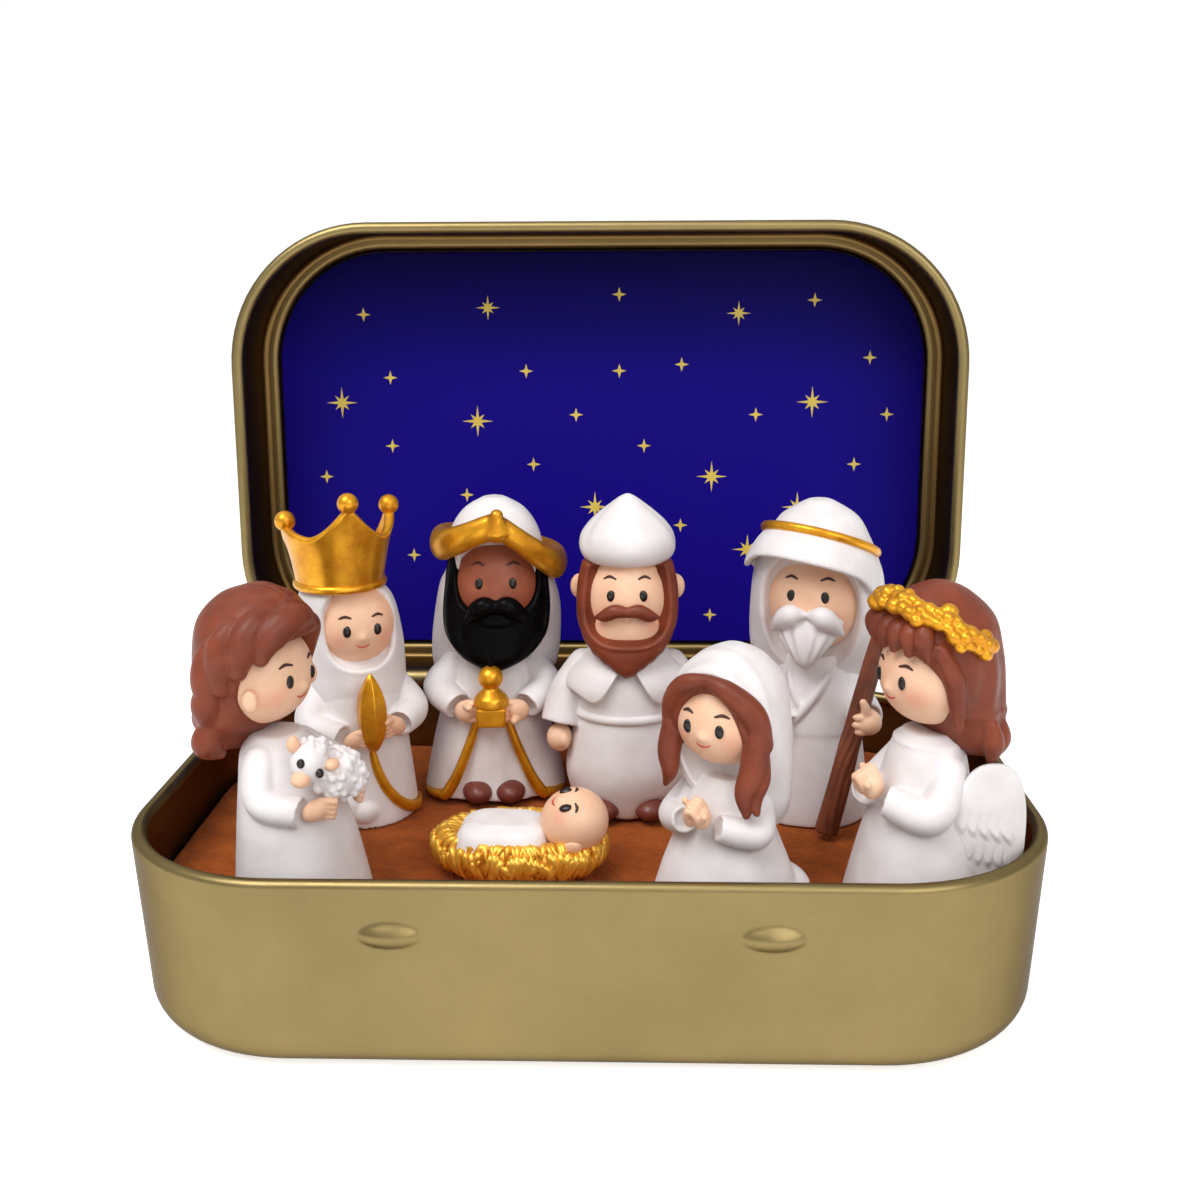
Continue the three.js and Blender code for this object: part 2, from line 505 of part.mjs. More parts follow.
function father() {
  const robe = [[0, 8, 7.5], [7, 7.3, 6.8], [13, 6.5, 6], [18.5, 5.6, 5], [22.6, 3.4, 3.2]];
  const staffArm = [[4.8, -0.2, 18.4], [7.2, -2.2, 15.8], [8.2, -4.6, 15.6]];
  const foldedArm = [[-4.8, -0.2, 18.4], [-6.6, -3.2, 14.6], [-1.6, -6.4, 13.4]];
  const staff = [[4.2, -9.5, 1.5], [5.9, -8.8, 9.4], [7.3, -8.2, 16.3], [9.6, -7.3, 26.5]];
  const levels = [
    [19.6, 8.4, 4.6, -0.2, 2.6], [22.5, 9.3, 5.4, 0, 2.1], [28, 8.7, 6.7, 0, 1.1], [34, 7.7, 7, 0, 0.5],
    [38, 6.9, 6.7, 0, 0.3], [41, 5.2, 5.2, 0, 0.2], [43, 2.2, 2.2, 0, 0.2]];
  const fold = [[-8, -2.8, 29.6], [-5.6, -6.2, 34.6], [0, -8.2, 36.6], [5.6, -6.2, 34.4], [8.2, -2.8, 29.4]];
  const scarf = (g) => join(
    openFace(form(levels, { grow: g }), [7.2, 7.6, 9.2], [0, -8.4, 27.2]), limb(fold, [0.9, 0.9], g, 5, 6));
  const tuft = [
    [22.2, 0.7, 0.6, 0, -6.6], [24.6, 2.7, 1.9, 0, -5.9], [26.4, 3.7, 2.6, 0, -5], [28.2, 4.2, 2.7, 0, -4.2],
    [29.4, 3.4, 2.2, 0, -4]];
  const moustache = (g) => ball([4.6, 1.6, 1.4], [0, -6.2, 28.2], g, ...SMALL_FACETS);
  const beard = (g) => join(form(tuft, { grow: g }), moustache(g));
  const [ringTilt, ringLean] = [-20, 9].map(radians);
  const ring = (grow) => roll([7.6, 7.5], [0.6, 0.65], { grow, facets: 4 })
    .rotateX(ringTilt).rotateY(ringLean).translate(0.2, 0.5, 37.8);
  return figure([30, 9, -18], [
    ['father_head', egg([6.3, 6, 7.2], [0, -0.4, 30.2]), SKIN_PAINT],
    ['father_staff', (g) => limb(staff, [1.5, 1.15], g, 7, 5), STAFF_PAINT],
    ['father_hand', egg([1.8, 1.8, 2.1], [8.5, -6.6, 16.2], SMALL_FACETS), SKIN_PAINT],
    ['father_beard', beard, WHITE_PAINT],
    ['father_scarf', scarf, WHITE_PAINT],
    ['father_ring', ring, GOLD_PAINT],
    ['father_robe', sleeved(robe, [staffArm, foldedArm], [2.1, 2]), WHITE_PAINT],
  ]);
}

// Leaf-shaped wing that stands out to the back from the gown. side is 1 or -1.
function wing(side, grow) {
  const [spread, aside] = [radians(77), 7];
  const leaf = ball([4.3, 0.9, 8.2], [0, 0, 0], grow, 8, 6);
  return leaf.rotateZ(side * spread).translate(side * aside, 4.5, 9.9);
}

function angel() {
  const gown = [
    [0, 8.7, 8.3], [8, 7.3, 6.9, 0, 0.2], [14, 5.8, 5.4, 0, 0.4], [19.4, 4.6, 4.1, 0, 0.6],
    [21.6, 2.9, 2.8, 0, 0.6]];
  const arm = [[4.2, 0.7, 17.8], [5.6, -2.4, 13.4], [2, -6, 14.4]];
  const hair = [
    [19.4, 5.2, 2.9, 0, 5.4], [22, 6.7, 4.5, 0, 4.6], [26.5, 7.2, 6.1, 0, 2.9], [31, 7.3, 7, 0, 1.6],
    [35, 6.3, 6.4, 0, 1.2], [37.8, 3.7, 3.8, 0, 1], [39, 1.2, 1.2, 0, 1]];
  const [wreathRadius, wreathHalf, wreathSteps, wreathTilt] = [6.9, 100, 7, -25];
  const arch = Array.from({ length: wreathSteps + 1 }, (_, i) => {
    const a = radians(-90 + wreathHalf * (2 * i / wreathSteps - 1));
    return [wreathRadius * Math.cos(a), wreathRadius * Math.sin(a), 0];
  });
  const wreath = (g) => limb(arch, [1.2, 1.2], g, 5, wreathSteps)
    .rotateX(radians(wreathTilt)).translate(0, 1.1, 34.2);
  return figure([39.1, -19.4, -66], [
    ['angel_head', egg([6.1, 5.9, 6], [0, 0.6, 28.4]), SKIN_PAINT],
    ['angel_hands', egg([1.6, 1.4, 2.6], [0, -7.2, 16.2], SMALL_FACETS), SKIN_PAINT],
    ['angel_hair', framing(hair, [10, 7.4, 7], [0, -7, 26.4]), CHESTNUT_PAINT],
    ['angel_wreath', wreath, GOLD_PAINT],
    ['angel_wing_near', (g) => wing(1, g), WHITE_PAINT],
    ['angel_wing_far', (g) => wing(-1, g), WHITE_PAINT],
    ['angel_gown', sleeved(gown, bothSides(arm), [1.9, 1.9]), WHITE_PAINT],
  ]);
}

function babyInStraw() {
  const nest = [
    [0, 8.6, 5.4], [1.6, 10.4, 6.8], [3.6, 11.3, 7.5], [5.2, 10.6, 6.9], [5.4, 9.4, 5.9], [4.2, 8.4, 5],
    [2.6, 6.5, 3.6]];
  return figure([-8.6, -12, -4], [
    ['baby_head', egg([4.2, 4.1, 4.1], [7.1, -1, 7.4]), SKIN_PAINT],
    ['baby_swaddle', egg([5.8, 4.4, 2.7], [-1.6, -0.9, 5.2]), WHITE_PAINT],
    ['straw_nest', (grow) => form(nest, { sides: 16, grow, flutes: 8, fluteDepth: 0.08 }), GOLD_PAINT],
  ]);
}

const nativityTin = new THREE.Group();
nativityTin.add(tinTray(), floorInsert(), openLid());
nativityTin.add(shepherd(), crownedKing(), beardedKing(), keeper());
nativityTin.add(mother(), father(), angel(), babyInStraw());

export default nativityTin;
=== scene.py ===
# %% [markdown]
# # A nativity tin, dressed in Blender
# The object is a small hinged tin of gold lacquered tinplate. A star-printed card is glued in the lid, a
# suede-like insert fills the tray, and eight moulded and painted figures stand on it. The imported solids
# already have every piece in its place, so this lesson only makes the fine surfaces and the finishes.

# %% Load the frame
import json
import math

import bpy
import numpy as np
from mathutils import Matrix

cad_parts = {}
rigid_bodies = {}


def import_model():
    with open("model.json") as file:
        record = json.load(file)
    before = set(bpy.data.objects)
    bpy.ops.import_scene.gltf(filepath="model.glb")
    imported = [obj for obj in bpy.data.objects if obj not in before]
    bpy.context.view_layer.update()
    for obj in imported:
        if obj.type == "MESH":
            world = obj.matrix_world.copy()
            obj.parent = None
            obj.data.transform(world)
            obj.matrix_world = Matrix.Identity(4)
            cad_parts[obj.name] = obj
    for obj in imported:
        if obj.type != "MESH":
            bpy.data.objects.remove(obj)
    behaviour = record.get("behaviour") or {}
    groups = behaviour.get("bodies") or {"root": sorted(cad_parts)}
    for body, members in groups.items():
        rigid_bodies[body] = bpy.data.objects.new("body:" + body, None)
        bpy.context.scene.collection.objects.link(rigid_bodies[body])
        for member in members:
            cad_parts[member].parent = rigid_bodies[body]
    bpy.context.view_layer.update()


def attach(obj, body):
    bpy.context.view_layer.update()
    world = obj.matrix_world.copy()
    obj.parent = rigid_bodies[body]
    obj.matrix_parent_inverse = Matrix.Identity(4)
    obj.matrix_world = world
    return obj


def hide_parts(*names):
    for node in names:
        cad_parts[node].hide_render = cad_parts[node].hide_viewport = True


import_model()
MM = 0.001

# %% [markdown]
# ## Skins
# Every new piece is a closed skin: a grid of points, ring after ring, worked out as whole arrays. One
# function turns a grid, or many grids of one size, into vertices and faces. The sign of the enclosed
# volume tells whether the faces point outwards, so no shape needs care about its winding.

# %% Angles, directions and outward faces
def angles(count):
    """Evenly spaced angles of a full turn."""
    return np.arange(count) * 2 * np.pi / count


def unit(vectors):
    """Vectors divided by their lengths."""
    return vectors / np.linalg.norm(vectors, axis=-1, keepdims=True)


def outward(vertices, quads, triangles):
    """Turns all faces round if their volume, the sum of a . (b x c) over the triangles, is negative."""
    parts = np.concatenate([quads[:, [0, 1, 2]], quads[:, [0, 2, 3]], triangles])
    a, b, c = (vertices[parts[:, k]] for k in range(3))
    if np.sum(a * np.cross(b, c)) < 0:
        return vertices, quads[:, ::-1], triangles[:, ::-1]
    return vertices, quads, triangles


print("four even angles:", angles(4).round(2))

# %% From grids of points to vertices and faces
def skin(points, looped=False):
    """Closed skin over rings of points. points is rows x sides x 3, or a stack of such grids. A point in
    the middle of the first and of the last ring closes the ends, unless the rows close on themselves."""
    grids = points.reshape((-1,) + points.shape[-3:])
    count, rows, sides, _ = grids.shape
    size = rows * sides
    at = np.arange(count * size).reshape(count, rows, sides)
    beside = np.roll(at, -1, axis=2)
    above = np.roll(at, -1, axis=1)
    quads = np.stack([at, beside, np.roll(beside, -1, axis=1), above], axis=-1)
    if looped:
        return outward(grids.reshape(-1, 3), quads.reshape(-1, 4), np.empty((0, 3), int))
    middles = np.stack([grids[:, 0].mean(1), grids[:, -1].mean(1)], axis=1)
    poles = (count * size + np.arange(2 * count)).reshape(count, 2, 1)
    low = np.stack(np.broadcast_arrays(poles[:, 0], beside[:, 0], at[:, 0]), axis=-1)
    high = np.stack(np.broadcast_arrays(poles[:, 1], at[:, -1], beside[:, -1]), axis=-1)
    vertices = np.concatenate([grids.reshape(-1, 3), middles.reshape(-1, 3)])
    triangles = np.concatenate([low.reshape(-1, 3), high.reshape(-1, 3)])
    return outward(vertices, quads[:, :-1].reshape(-1, 4), triangles)


print("a skin over 4 rings of 6 points has", len(skin(np.zeros((4, 6, 3)))[1]), "quads")

# %% Joining and moving skins
def joined(*skins):
    """Several skins as one."""
    starts = np.cumsum([0] + [len(vertices) for vertices, _, _ in skins])
    return (np.concatenate([s[0] for s in skins]),
            np.concatenate([s[1] + start for s, start in zip(skins, starts)]),
            np.concatenate([s[2] + start for s, start in zip(skins, starts)]))


def moved(shape, place, turn=0.0):
    """A skin turned about Z by turn degrees and then moved to place."""
    vertices, quads, triangles = shape
    c, s = math.cos(math.radians(turn)), math.sin(math.radians(turn))
    turned = vertices @ np.array([[c, s, 0], [-s, c, 0], [0, 0, 1]])
    return turned + np.asarray(place), quads, triangles


print("turned by 90 degrees, X becomes", moved((np.eye(3), None, None), (0, 0, 0), 90)[0][0].round(2))


def solid(name, shape, material):
    """Object of a skin whose points are in millimetres."""
    vertices, quads, triangles = shape
    mesh = bpy.data.meshes.new(name)
    mesh.from_pydata((vertices * MM).tolist(), [], quads.tolist() + triangles.tolist())
    mesh.polygons.foreach_set("use_smooth", np.ones(len(mesh.polygons), bool))
    mesh.materials.append(material)
    made = bpy.data.objects.new(name, mesh)
    bpy.context.scene.collection.objects.link(made)
    return made


def put(name, shape, material, body, nodes=()):
    """Makes a piece that rides on a body and replaces solids."""
    piece = solid(name, shape, material)
    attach(piece, body)
    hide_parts(*nodes)
    return piece


print("one unit of the skins is", MM, "m")

# %% [markdown]
# ## Forms of the figures
# The figures are built from a handful of forms: an upright form through level outlines for robes, an egg
# for heads and hands, a limb along a path for sleeves and straws, a roll for bands, and a covering for
# hair, hoods and scarves. They could be sculpted by hand instead, but a form that a few rows of numbers
# describe is easily changed, and it comes out the same each time.

# %% Upright forms
def smooth_rows(rows, count):
    """count rows on the Catmull-Rom curve through the given rows: between b and c, with the neighbours a
    and d, it is b + t/2 (c - a + t (2a - 5b + 4c - d + t (3b - 3c + d - a)))."""
    rows = np.asarray(rows, float)
    place = np.linspace(0, len(rows) - 1, count)
    i = np.minimum(place.astype(int), len(rows) - 2)
    t = (place - i)[:, None]
    a, b, c, d = (rows[np.clip(i + k, 0, len(rows) - 1)] for k in (-1, 0, 1, 2))
    return b + t / 2 * (c - a + t * (2 * a - 5 * b + 4 * c - d + t * (3 * (b - c) + d - a)))


def full_levels(levels):
    """Level outlines [z, rx, ry, cx, cy]. Where they are left out, ry is rx, and cx and cy are 0."""
    rows = [(*row, row[1]) if len(row) == 2 else row for row in levels]
    return np.array([(*row, 0, 0)[:5] for row in rows], float)


def form(levels, rows=64, sides=96, fold=None):
    """Upright form. At the angle a and the height z the point is (cx + rx k cos a, cy + ry k sin a, z),
    where k = 1 + fold(a, z)."""
    z, rx, ry, cx, cy = (column[:, None] for column in smooth_rows(full_levels(levels), rows).T)
    a = angles(sides)[None, :]
    k = 1 + (fold(a, z) if fold else 0)
    x, y = cx + rx * k * np.cos(a), cy + ry * k * np.sin(a)
    return skin(np.stack(np.broadcast_arrays(x, y, z), axis=-1))


print("a form has", len(form([[0, 1], [1, 1]])[0]), "points by default")

# %% Eggs
def ball_grid(rows, sides):
    """Unit ball: at the latitude b and the angle a the point is (cos b cos a, cos b sin a, sin b)."""
    b = np.linspace(-1, 1, rows)[:, None] * (np.pi / 2 - 0.02)
    a = angles(sides)[None, :]
    return np.stack(np.broadcast_arrays(np.cos(b) * np.cos(a), np.cos(b) * np.sin(a), np.sin(b)), axis=-1)


def egg(size, place, rows=24, sides=36):
    """Egg with three radii, on its place."""
    return skin(ball_grid(rows, sides) * np.asarray(size) + np.asarray(place))


def eggs(sizes, places, frames=None, rows=9, sides=12):
    """Many small eggs at once. frames holds three unit axes for each egg, and X, Y and Z by default."""
    sizes, places = np.atleast_2d(sizes).astype(float), np.atleast_2d(places).astype(float)
    frames = np.eye(3)[None] if frames is None else frames
    grid = ball_grid(rows, sides) * sizes[:, None, None, :]
    turned = np.einsum("nrsk,nkj->nrsj", grid, np.broadcast_to(frames, (len(grid), 3, 3)))
    return skin(turned + places[:, None, None, :])


print("an egg has", len(egg([1, 1, 1], [0, 0, 0])[0]), "points by default")

# %% Limbs
def tubes(paths, radii, sides=24, hollow=0.0, dome=6):
    """Round tubes along n x rows x 3 paths. Past each end, at the angle b, a ring moves on by r sin b and
    shrinks to r cos b, which domes the end. A hollow end turns back inside instead, like a cuff."""
    tangent = unit(np.gradient(paths, axis=1))
    chord = np.abs(paths[:, -1] - paths[:, 0])
    reference = np.eye(3)[np.argmin(chord, axis=1)][:, None, :]
    side = unit(np.cross(tangent, reference))
    up = np.cross(tangent, side)
    quarter = np.linspace(0, np.pi / 2 * 0.97, dome)[1:]
    rows = paths.shape[1]
    end_along, end_scale = np.sin(quarter), np.cos(quarter)
    if hollow:
        end_along, end_scale = np.array([0.08, 0.1, 0.02, -hollow]), np.array([0.97, 0.88, 0.8, 0.74])
    row = np.concatenate([np.zeros(dome - 1, int), np.arange(rows), np.full(len(end_along), rows - 1)])
    along = np.concatenate([-np.sin(quarter[::-1]), np.zeros(rows), end_along])
    scale = np.concatenate([np.cos(quarter[::-1]), np.ones(rows), end_scale])
    radius = np.broadcast_to(radii, paths.shape[:2])[:, row, None]
    centre = paths[:, row] + along[None, :, None] * radius * tangent[:, row]
    a = angles(sides)[None, None, :, None]
    spoke = np.cos(a) * side[:, row, None, :] + np.sin(a) * up[:, row, None, :]
    return skin(centre[:, :, None, :] + (radius * scale[None, :, None])[..., None] * spoke)


def limb(points, radii, rows=30, sides=24, hollow=0.0):
    """One tube on the smooth path through a few points, its radius running smoothly through radii."""
    radius = smooth_rows(np.asarray(radii, float)[:, None], rows)[:, 0]
    return tubes(smooth_rows(points, rows)[None], radius[None], sides, hollow)


def both_sides(points):
    """A path and its mirror image across the figure."""
    points = np.asarray(points, float)
    return points, points * [-1, 1, 1]


def limbs(points, radii, rows):
    """A limb and its mirror image across the figure."""
    return [limb(path, radii, rows) for path in both_sides(points)]


print("a limb has", len(limb([[0, 0, 0], [0, 0, 9]], (1, 1))[0]), "points by default")

# %% [markdown]
# ## Coverings that frame a face
# Hair, hoods and scarves lie round a face with a clean rounded edge. A boolean cut would leave a ragged
# one, so a covering is seen from the face: its outline is one distance for each direction from the middle
# of the head, and its rows run from the back of the head to the edge of the opening.

# %% From the middle of a head to its flank
REACH_LIMIT, REACH_HALVINGS = 45.0, 24


def within(fine, points):
    """Which points lie inside the form whose fine level rows are given."""
    z = points[..., 2]
    rx, ry, cx, cy = (np.interp(z, fine[:, 0], fine[:, k]) for k in range(1, 5))
    oval = ((points[..., 0] - cx) / rx) ** 2 + ((points[..., 1] - cy) / ry) ** 2
    return (oval < 1) & (z > fine[0, 0]) & (z < fine[-1, 0])


def facing(theta, phi):
    """Unit directions at the angle theta from straight ahead, towards phi: 0 is the left, 90 degrees up."""
    return np.stack(np.broadcast_arrays(
        np.sin(theta) * np.cos(phi), -np.cos(theta), np.sin(theta) * np.sin(phi)), axis=-1)


def reach(fine, centre, aim):
    """Distance from the centre to the form's flank along each aim, found by halving."""
    near, far = np.zeros(aim.shape[:-1]), np.full(aim.shape[:-1], REACH_LIMIT)
    for _ in range(REACH_HALVINGS):
        middle = (near + far) / 2
        inside = within(fine, centre + middle[..., None] * aim)
        near, far = np.where(inside, middle, near), np.where(inside, far, middle)
    return near


print("the flank is found within", REACH_LIMIT / 2 ** REACH_HALVINGS, "mm")

# %% Coverings
RIM_HALVINGS = 16


def covering(levels, centre, window, lip=1.6, square=2, hem=None, carve=None, rows=90, sides=160):
    """Hair, hood, veil or scarf on a form's flank. The rows run from the back of the head to the rim, which
    is where the flank enters the window (size, place): an egg, or squarer with a higher power. Then they
    turn round a half circle of the lip's thickness to the inside. hem adds relief along the rim, and carve
    anywhere."""
    fine = smooth_rows(full_levels(levels), 300)
    centre = np.asarray(centre, float)
    size, place = (np.asarray(v, float) for v in window)
    phi = angles(sides)
    low, high = np.zeros(sides), np.full(sides, np.pi * 0.95)
    for _ in range(RIM_HALVINGS):
        middle = (low + high) / 2
        aim = facing(middle, phi)
        flank = centre + reach(fine, centre, aim)[:, None] * aim
        open_there = (np.abs((flank - place) / size) ** square).sum(-1) < 1
        low, high = np.where(open_there, middle, low), np.where(open_there, high, middle)
    rim = low
    run = np.linspace(0.012, 1, rows)[:, None]
    aim = facing(np.pi - (np.pi - rim)[None, :] * run, phi[None, :])
    distance = reach(fine, centre, aim)
    if carve:
        spot = centre + distance[..., None] * aim
        fade = np.minimum(1, 6 * (1 - run) + 0.25)
        distance = distance + carve(np.arctan2(spot[..., 1], spot[..., 0]), spot[..., 2]) * fade
    if hem:
        distance = distance + hem(1 - run)
    b = np.linspace(0, np.pi, 9)[1:, None]
    edge = distance[-1][None, :] - lip / 2 * (1 - np.cos(b))
    edge_aim = facing(rim[None, :] - lip / 2 * np.sin(b) / distance[-1][None, :], phi[None, :])
    inner = 0.45 * edge[-1:, :, None] * edge_aim[-1:]
    return skin(centre + np.concatenate([distance[..., None] * aim, edge[..., None] * edge_aim, inner]))


print("the rim is found within", round(180 / 2 ** RIM_HALVINGS, 4), "degrees")

# %% [markdown]
# ## Finishes
# Two effects return in several finishes, so each is a node group: a paint film, whose colour pools and
# thins a little and whose surface is never quite flat, and a lacquer grain for metal and gold paint. The
# groups give colours, roughness and heights that change over the surface. The shader and every value
# that is the same all over stay in the material.

# %% Nodes
def node(tree, kind, settings=None, **sockets):
    """A node with its settings, and its input sockets either set to a value or linked to another output.
    A socket is given by its name, or as i and its number."""
    made = tree.nodes.new(f"ShaderNode{kind}")
    for key, value in (settings or {}).items():
        setattr(made, key, value)
    for key, value in sockets.items():
        socket = made.inputs[int(key[1:])] if key[1:].isdigit() else made.inputs[key.replace("_", " ")]
        if isinstance(value, bpy.types.NodeSocket):
            tree.links.new(value, socket)
        else:
            socket.default_value = value
    return made


def calc(tree, operation, *values, clamp=False):
    """Result of a Math node."""
    sockets = {f"i{k}": value for k, value in enumerate(values)}
    return node(tree, "Math", {"operation": operation, "use_clamp": clamp}, **sockets).outputs[0]


print("kinds of shader nodes:", sum(kind.startswith("ShaderNode") for kind in dir(bpy.types)))

# %% Noise, ranges and colours
def noise(tree, vector, scale, detail=3.0, roughness=0.5):
    """Grey noise of 0 to 1 on the given coordinates."""
    made = node(tree, "TexNoise", Vector=vector, Scale=scale, Detail=detail, Roughness=roughness)
    return made.outputs["Fac"]


def spread(tree, value, low, high, to_low=0.0, to_high=1.0):
    """Maps a value from low..high to to_low..to_high, clamped."""
    limits = {"From_Min": low, "From_Max": high, "To_Min": to_low, "To_Max": to_high}
    return node(tree, "MapRange", Value=value, **limits).outputs[0]


def mix_colour(tree, amount, first, second):
    """Colour mix of two colours or links."""
    return node(tree, "Mix", {"data_type": "RGBA"}, i0=amount, i6=first, i7=second).outputs[2]


def object_place(tree):
    """Object coordinates, in metres from the frame's origin."""
    return node(tree, "TexCoord").outputs["Object"]


def colour(red, green, blue):
    """sRGB of 0 to 255 as the linear colour that Blender works with."""
    c = np.array([red, green, blue]) / 255
    linear = np.where(c <= 0.04045, c / 12.92, ((c + 0.055) / 1.055) ** 2.4)
    return (*linear.tolist(), 1.0)


print("mid grey is", round(colour(128, 128, 128)[0], 3), "in linear light")

# %% What a shared effect takes and gives
def new_effect(name, inputs):
    """A node group with the given inputs, as name: (type, default), and two for the gloss. It gives a
    colour, a roughness and a height."""
    group = bpy.data.node_groups.new(name, "ShaderNodeTree")
    gloss = {"Gloss Low": ("Float", 0.3), "Gloss High": ("Float", 0.5)}
    for socket, (kind, default) in {**inputs, **gloss}.items():
        made = group.interface.new_socket(socket, in_out="INPUT", socket_type=f"NodeSocket{kind}")
        made.default_value = default
    for socket, kind in {"Color": "Color", "Roughness": "Float", "Height": "Float"}.items():
        group.interface.new_socket(socket, in_out="OUTPUT", socket_type=f"NodeSocket{kind}")
    given, result = group.nodes.new("NodeGroupInput"), group.nodes.new("NodeGroupOutput")
    return group, given.outputs, result.inputs


print("node groups so far:", len(bpy.data.node_groups))

# %% Paint film
def paint_film():
    """Brushed-on paint: broad pooling in the colour, fine streaks in the gloss, a soft uneven height."""
    grey = ("Color", (0.8, 0.8, 0.8, 1))
    tree, given, result = new_effect("paint film", {"Thin": grey, "Pooled": grey})
    place = object_place(tree)
    pools = spread(tree, noise(tree, place, 260, 4), 0.35, 0.7)
    tree.links.new(mix_colour(tree, pools, given["Thin"], given["Pooled"]), result["Color"])
    streaks = node(tree, "Mapping", Vector=place, Scale=(1, 1, 0.35)).outputs[0]
    brushed = noise(tree, streaks, 1400, 3)
    gloss = spread(tree, brushed, 0.3, 0.7, given["Gloss Low"], given["Gloss High"])
    tree.links.new(gloss, result["Roughness"])
    tree.links.new(calc(tree, "MULTIPLY_ADD", noise(tree, place, 700, 2), 0.7, brushed), result["Height"])
    return tree


PAINT_FILM = paint_film()
print("paint film of", len(PAINT_FILM.nodes), "nodes")

# %% Lacquer grain
def lacquer_grain():
    """Metallic lacquer: cloudy tone, a fine sparkle of flakes and an orange-peel height."""
    brass = ("Color", (0.5, 0.4, 0.2, 1))
    inputs = {"Light": brass, "Dark": brass, "Cloud Scale": ("Float", 60.0)}
    tree, given, result = new_effect("lacquer grain", inputs)
    place = object_place(tree)
    cloud = spread(tree, noise(tree, place, given["Cloud Scale"], 5, 0.6), 0.3, 0.72)
    flakes = node(tree, "TexVoronoi", Vector=place, Scale=5200.0).outputs["Color"]
    flake = spread(tree, node(tree, "SeparateColor", Color=flakes).outputs[0], 0.0, 1.0, -0.12, 0.12)
    tone = calc(tree, "ADD", cloud, flake, clamp=True)
    tree.links.new(mix_colour(tree, tone, given["Light"], given["Dark"]), result["Color"])
    gloss = spread(tree, noise(tree, place, 300, 4), 0.3, 0.7, given["Gloss Low"], given["Gloss High"])
    tree.links.new(gloss, result["Roughness"])
    tree.links.new(noise(tree, place, 1500, 2), result["Height"])
    return tree


LACQUER_GRAIN = lacquer_grain()
print("lacquer grain of", len(LACQUER_GRAIN.nodes), "nodes")

# %% A material from an effect
FILM_BUMP = 0.35


def blank(name):
    """A material with only a Principled shader on its output."""
    material = bpy.data.materials.new(name)
    material.use_nodes = True
    return material, material.node_tree, material.node_tree.nodes["Principled BSDF"]


def bump(tree, shader, height, strength, distance):
    """A bump of the given height in millimetres on the shader's normal."""
    made = node(tree, "Bump", Strength=strength, Distance=distance * MM, Height=height)
    tree.links.new(made.outputs[0], shader.inputs["Normal"])


def film(name, effect, values, bump_mm, metallic=0.0, specular=0.5):
    """A finish from one of the shared effects, with its own values."""
    material, tree, shader = blank(name)
    group = tree.nodes.new("ShaderNodeGroup")
    group.node_tree = effect
    for key, value in values.items():
        group.inputs[key].default_value = value
    tree.links.new(group.outputs["Color"], shader.inputs["Base Color"])
    tree.links.new(group.outputs["Roughness"], shader.inputs["Roughness"])
    bump(tree, shader, group.outputs["Height"], FILM_BUMP, bump_mm)
    shader.inputs["Metallic"].default_value = metallic
    shader.inputs["Specular IOR Level"].default_value = specular
    return material


print("a film's bump has the strength", FILM_BUMP)

# %% Paints, lacquers and tints
def paint(name, slot, thin, pooled, gloss=(0.42, 0.58), bump_mm=0.04, specular=0.45):
    """Opaque paint on a moulded figure."""
    values = {"Thin": colour(*thin), "Pooled": colour(*pooled), "Gloss Low": gloss[0], "Gloss High": gloss[1]}
    return film(name, PAINT_FILM, values, bump_mm, specular=specular)


def lacquer(name, slot, light, dark, cloud, gloss, bump_mm, metallic):
    """Gold lacquer or gold paint."""
    values = {"Light": colour(*light), "Dark": colour(*dark), "Cloud Scale": cloud,
              "Gloss Low": gloss[0], "Gloss High": gloss[1]}
    return film(name, LACQUER_GRAIN, values, bump_mm, metallic=metallic)


def tint(material, attribute, shade, share):
    """Mixes a shade into a finish, up to the given share, where the piece's attribute is high."""
    tree = material.node_tree
    base = tree.nodes["Principled BSDF"].inputs["Base Color"]
    plain = base.links[0].from_socket
    level = node(tree, "Attribute", {"attribute_name": attribute}).outputs["Fac"]
    tree.links.new(mix_colour(tree, calc(tree, "MULTIPLY", level, share), plain, colour(*shade)), base)


print("kinds of finish:", paint.__name__, "and", lacquer.__name__)

# %% The finishes of this object
TIN = lacquer("gold tinplate lacquer", "gold_tin", (144, 126, 84), (131, 115, 76),
              cloud=55.0, gloss=(0.33, 0.4), bump_mm=0.012, metallic=1.0)
TIN.node_tree.nodes["Principled BSDF"].inputs["Specular Tint"].default_value = (0.4, 0.4, 0.45, 1)
GOLD = lacquer("metallic gold paint", "gold_paint", (236, 170, 36), (198, 126, 14),
               cloud=420.0, gloss=(0.26, 0.4), bump_mm=0.05, metallic=0.65)
# The same gold paint, made paler on the straws as a painted highlight.
GOLD_WITH_PAINTED_HIGHLIGHT = lacquer("pale gold straw paint", "gold_paint", (248, 198, 80), (226, 158, 44),
                     cloud=420.0, gloss=(0.26, 0.4), bump_mm=0.05, metallic=0.5)
WHITE = paint("matt white paint", "white_paint", (234, 229, 229), (222, 215, 214), gloss=(0.42, 0.55))
SKIN = paint("peach paint", "skin_paint", (244, 202, 170), (238, 186, 150))
DARK_SKIN = paint("brown skin paint", "dark_skin_paint", (162, 90, 62), (140, 72, 48))
CHESTNUT = paint("chestnut hair paint", "chestnut_paint", (134, 64, 40), (108, 49, 31),
                 gloss=(0.34, 0.5), specular=0.28)
BLACK = paint("gloss black paint", "black_paint", (6, 5, 5), (10, 9, 9), gloss=(0.22, 0.3), specular=0.05)
EYE = paint("dark eye paint", "black_paint", (26, 15, 12), (18, 11, 9), gloss=(0.25, 0.32), bump_mm=0.005)
BROW = paint("dark brown brow paint", "chestnut_paint", (72, 36, 28), (58, 28, 22), bump_mm=0.01)
LIP = paint("red lip paint", None, (206, 92, 78), (186, 74, 62), bump_mm=0.01)
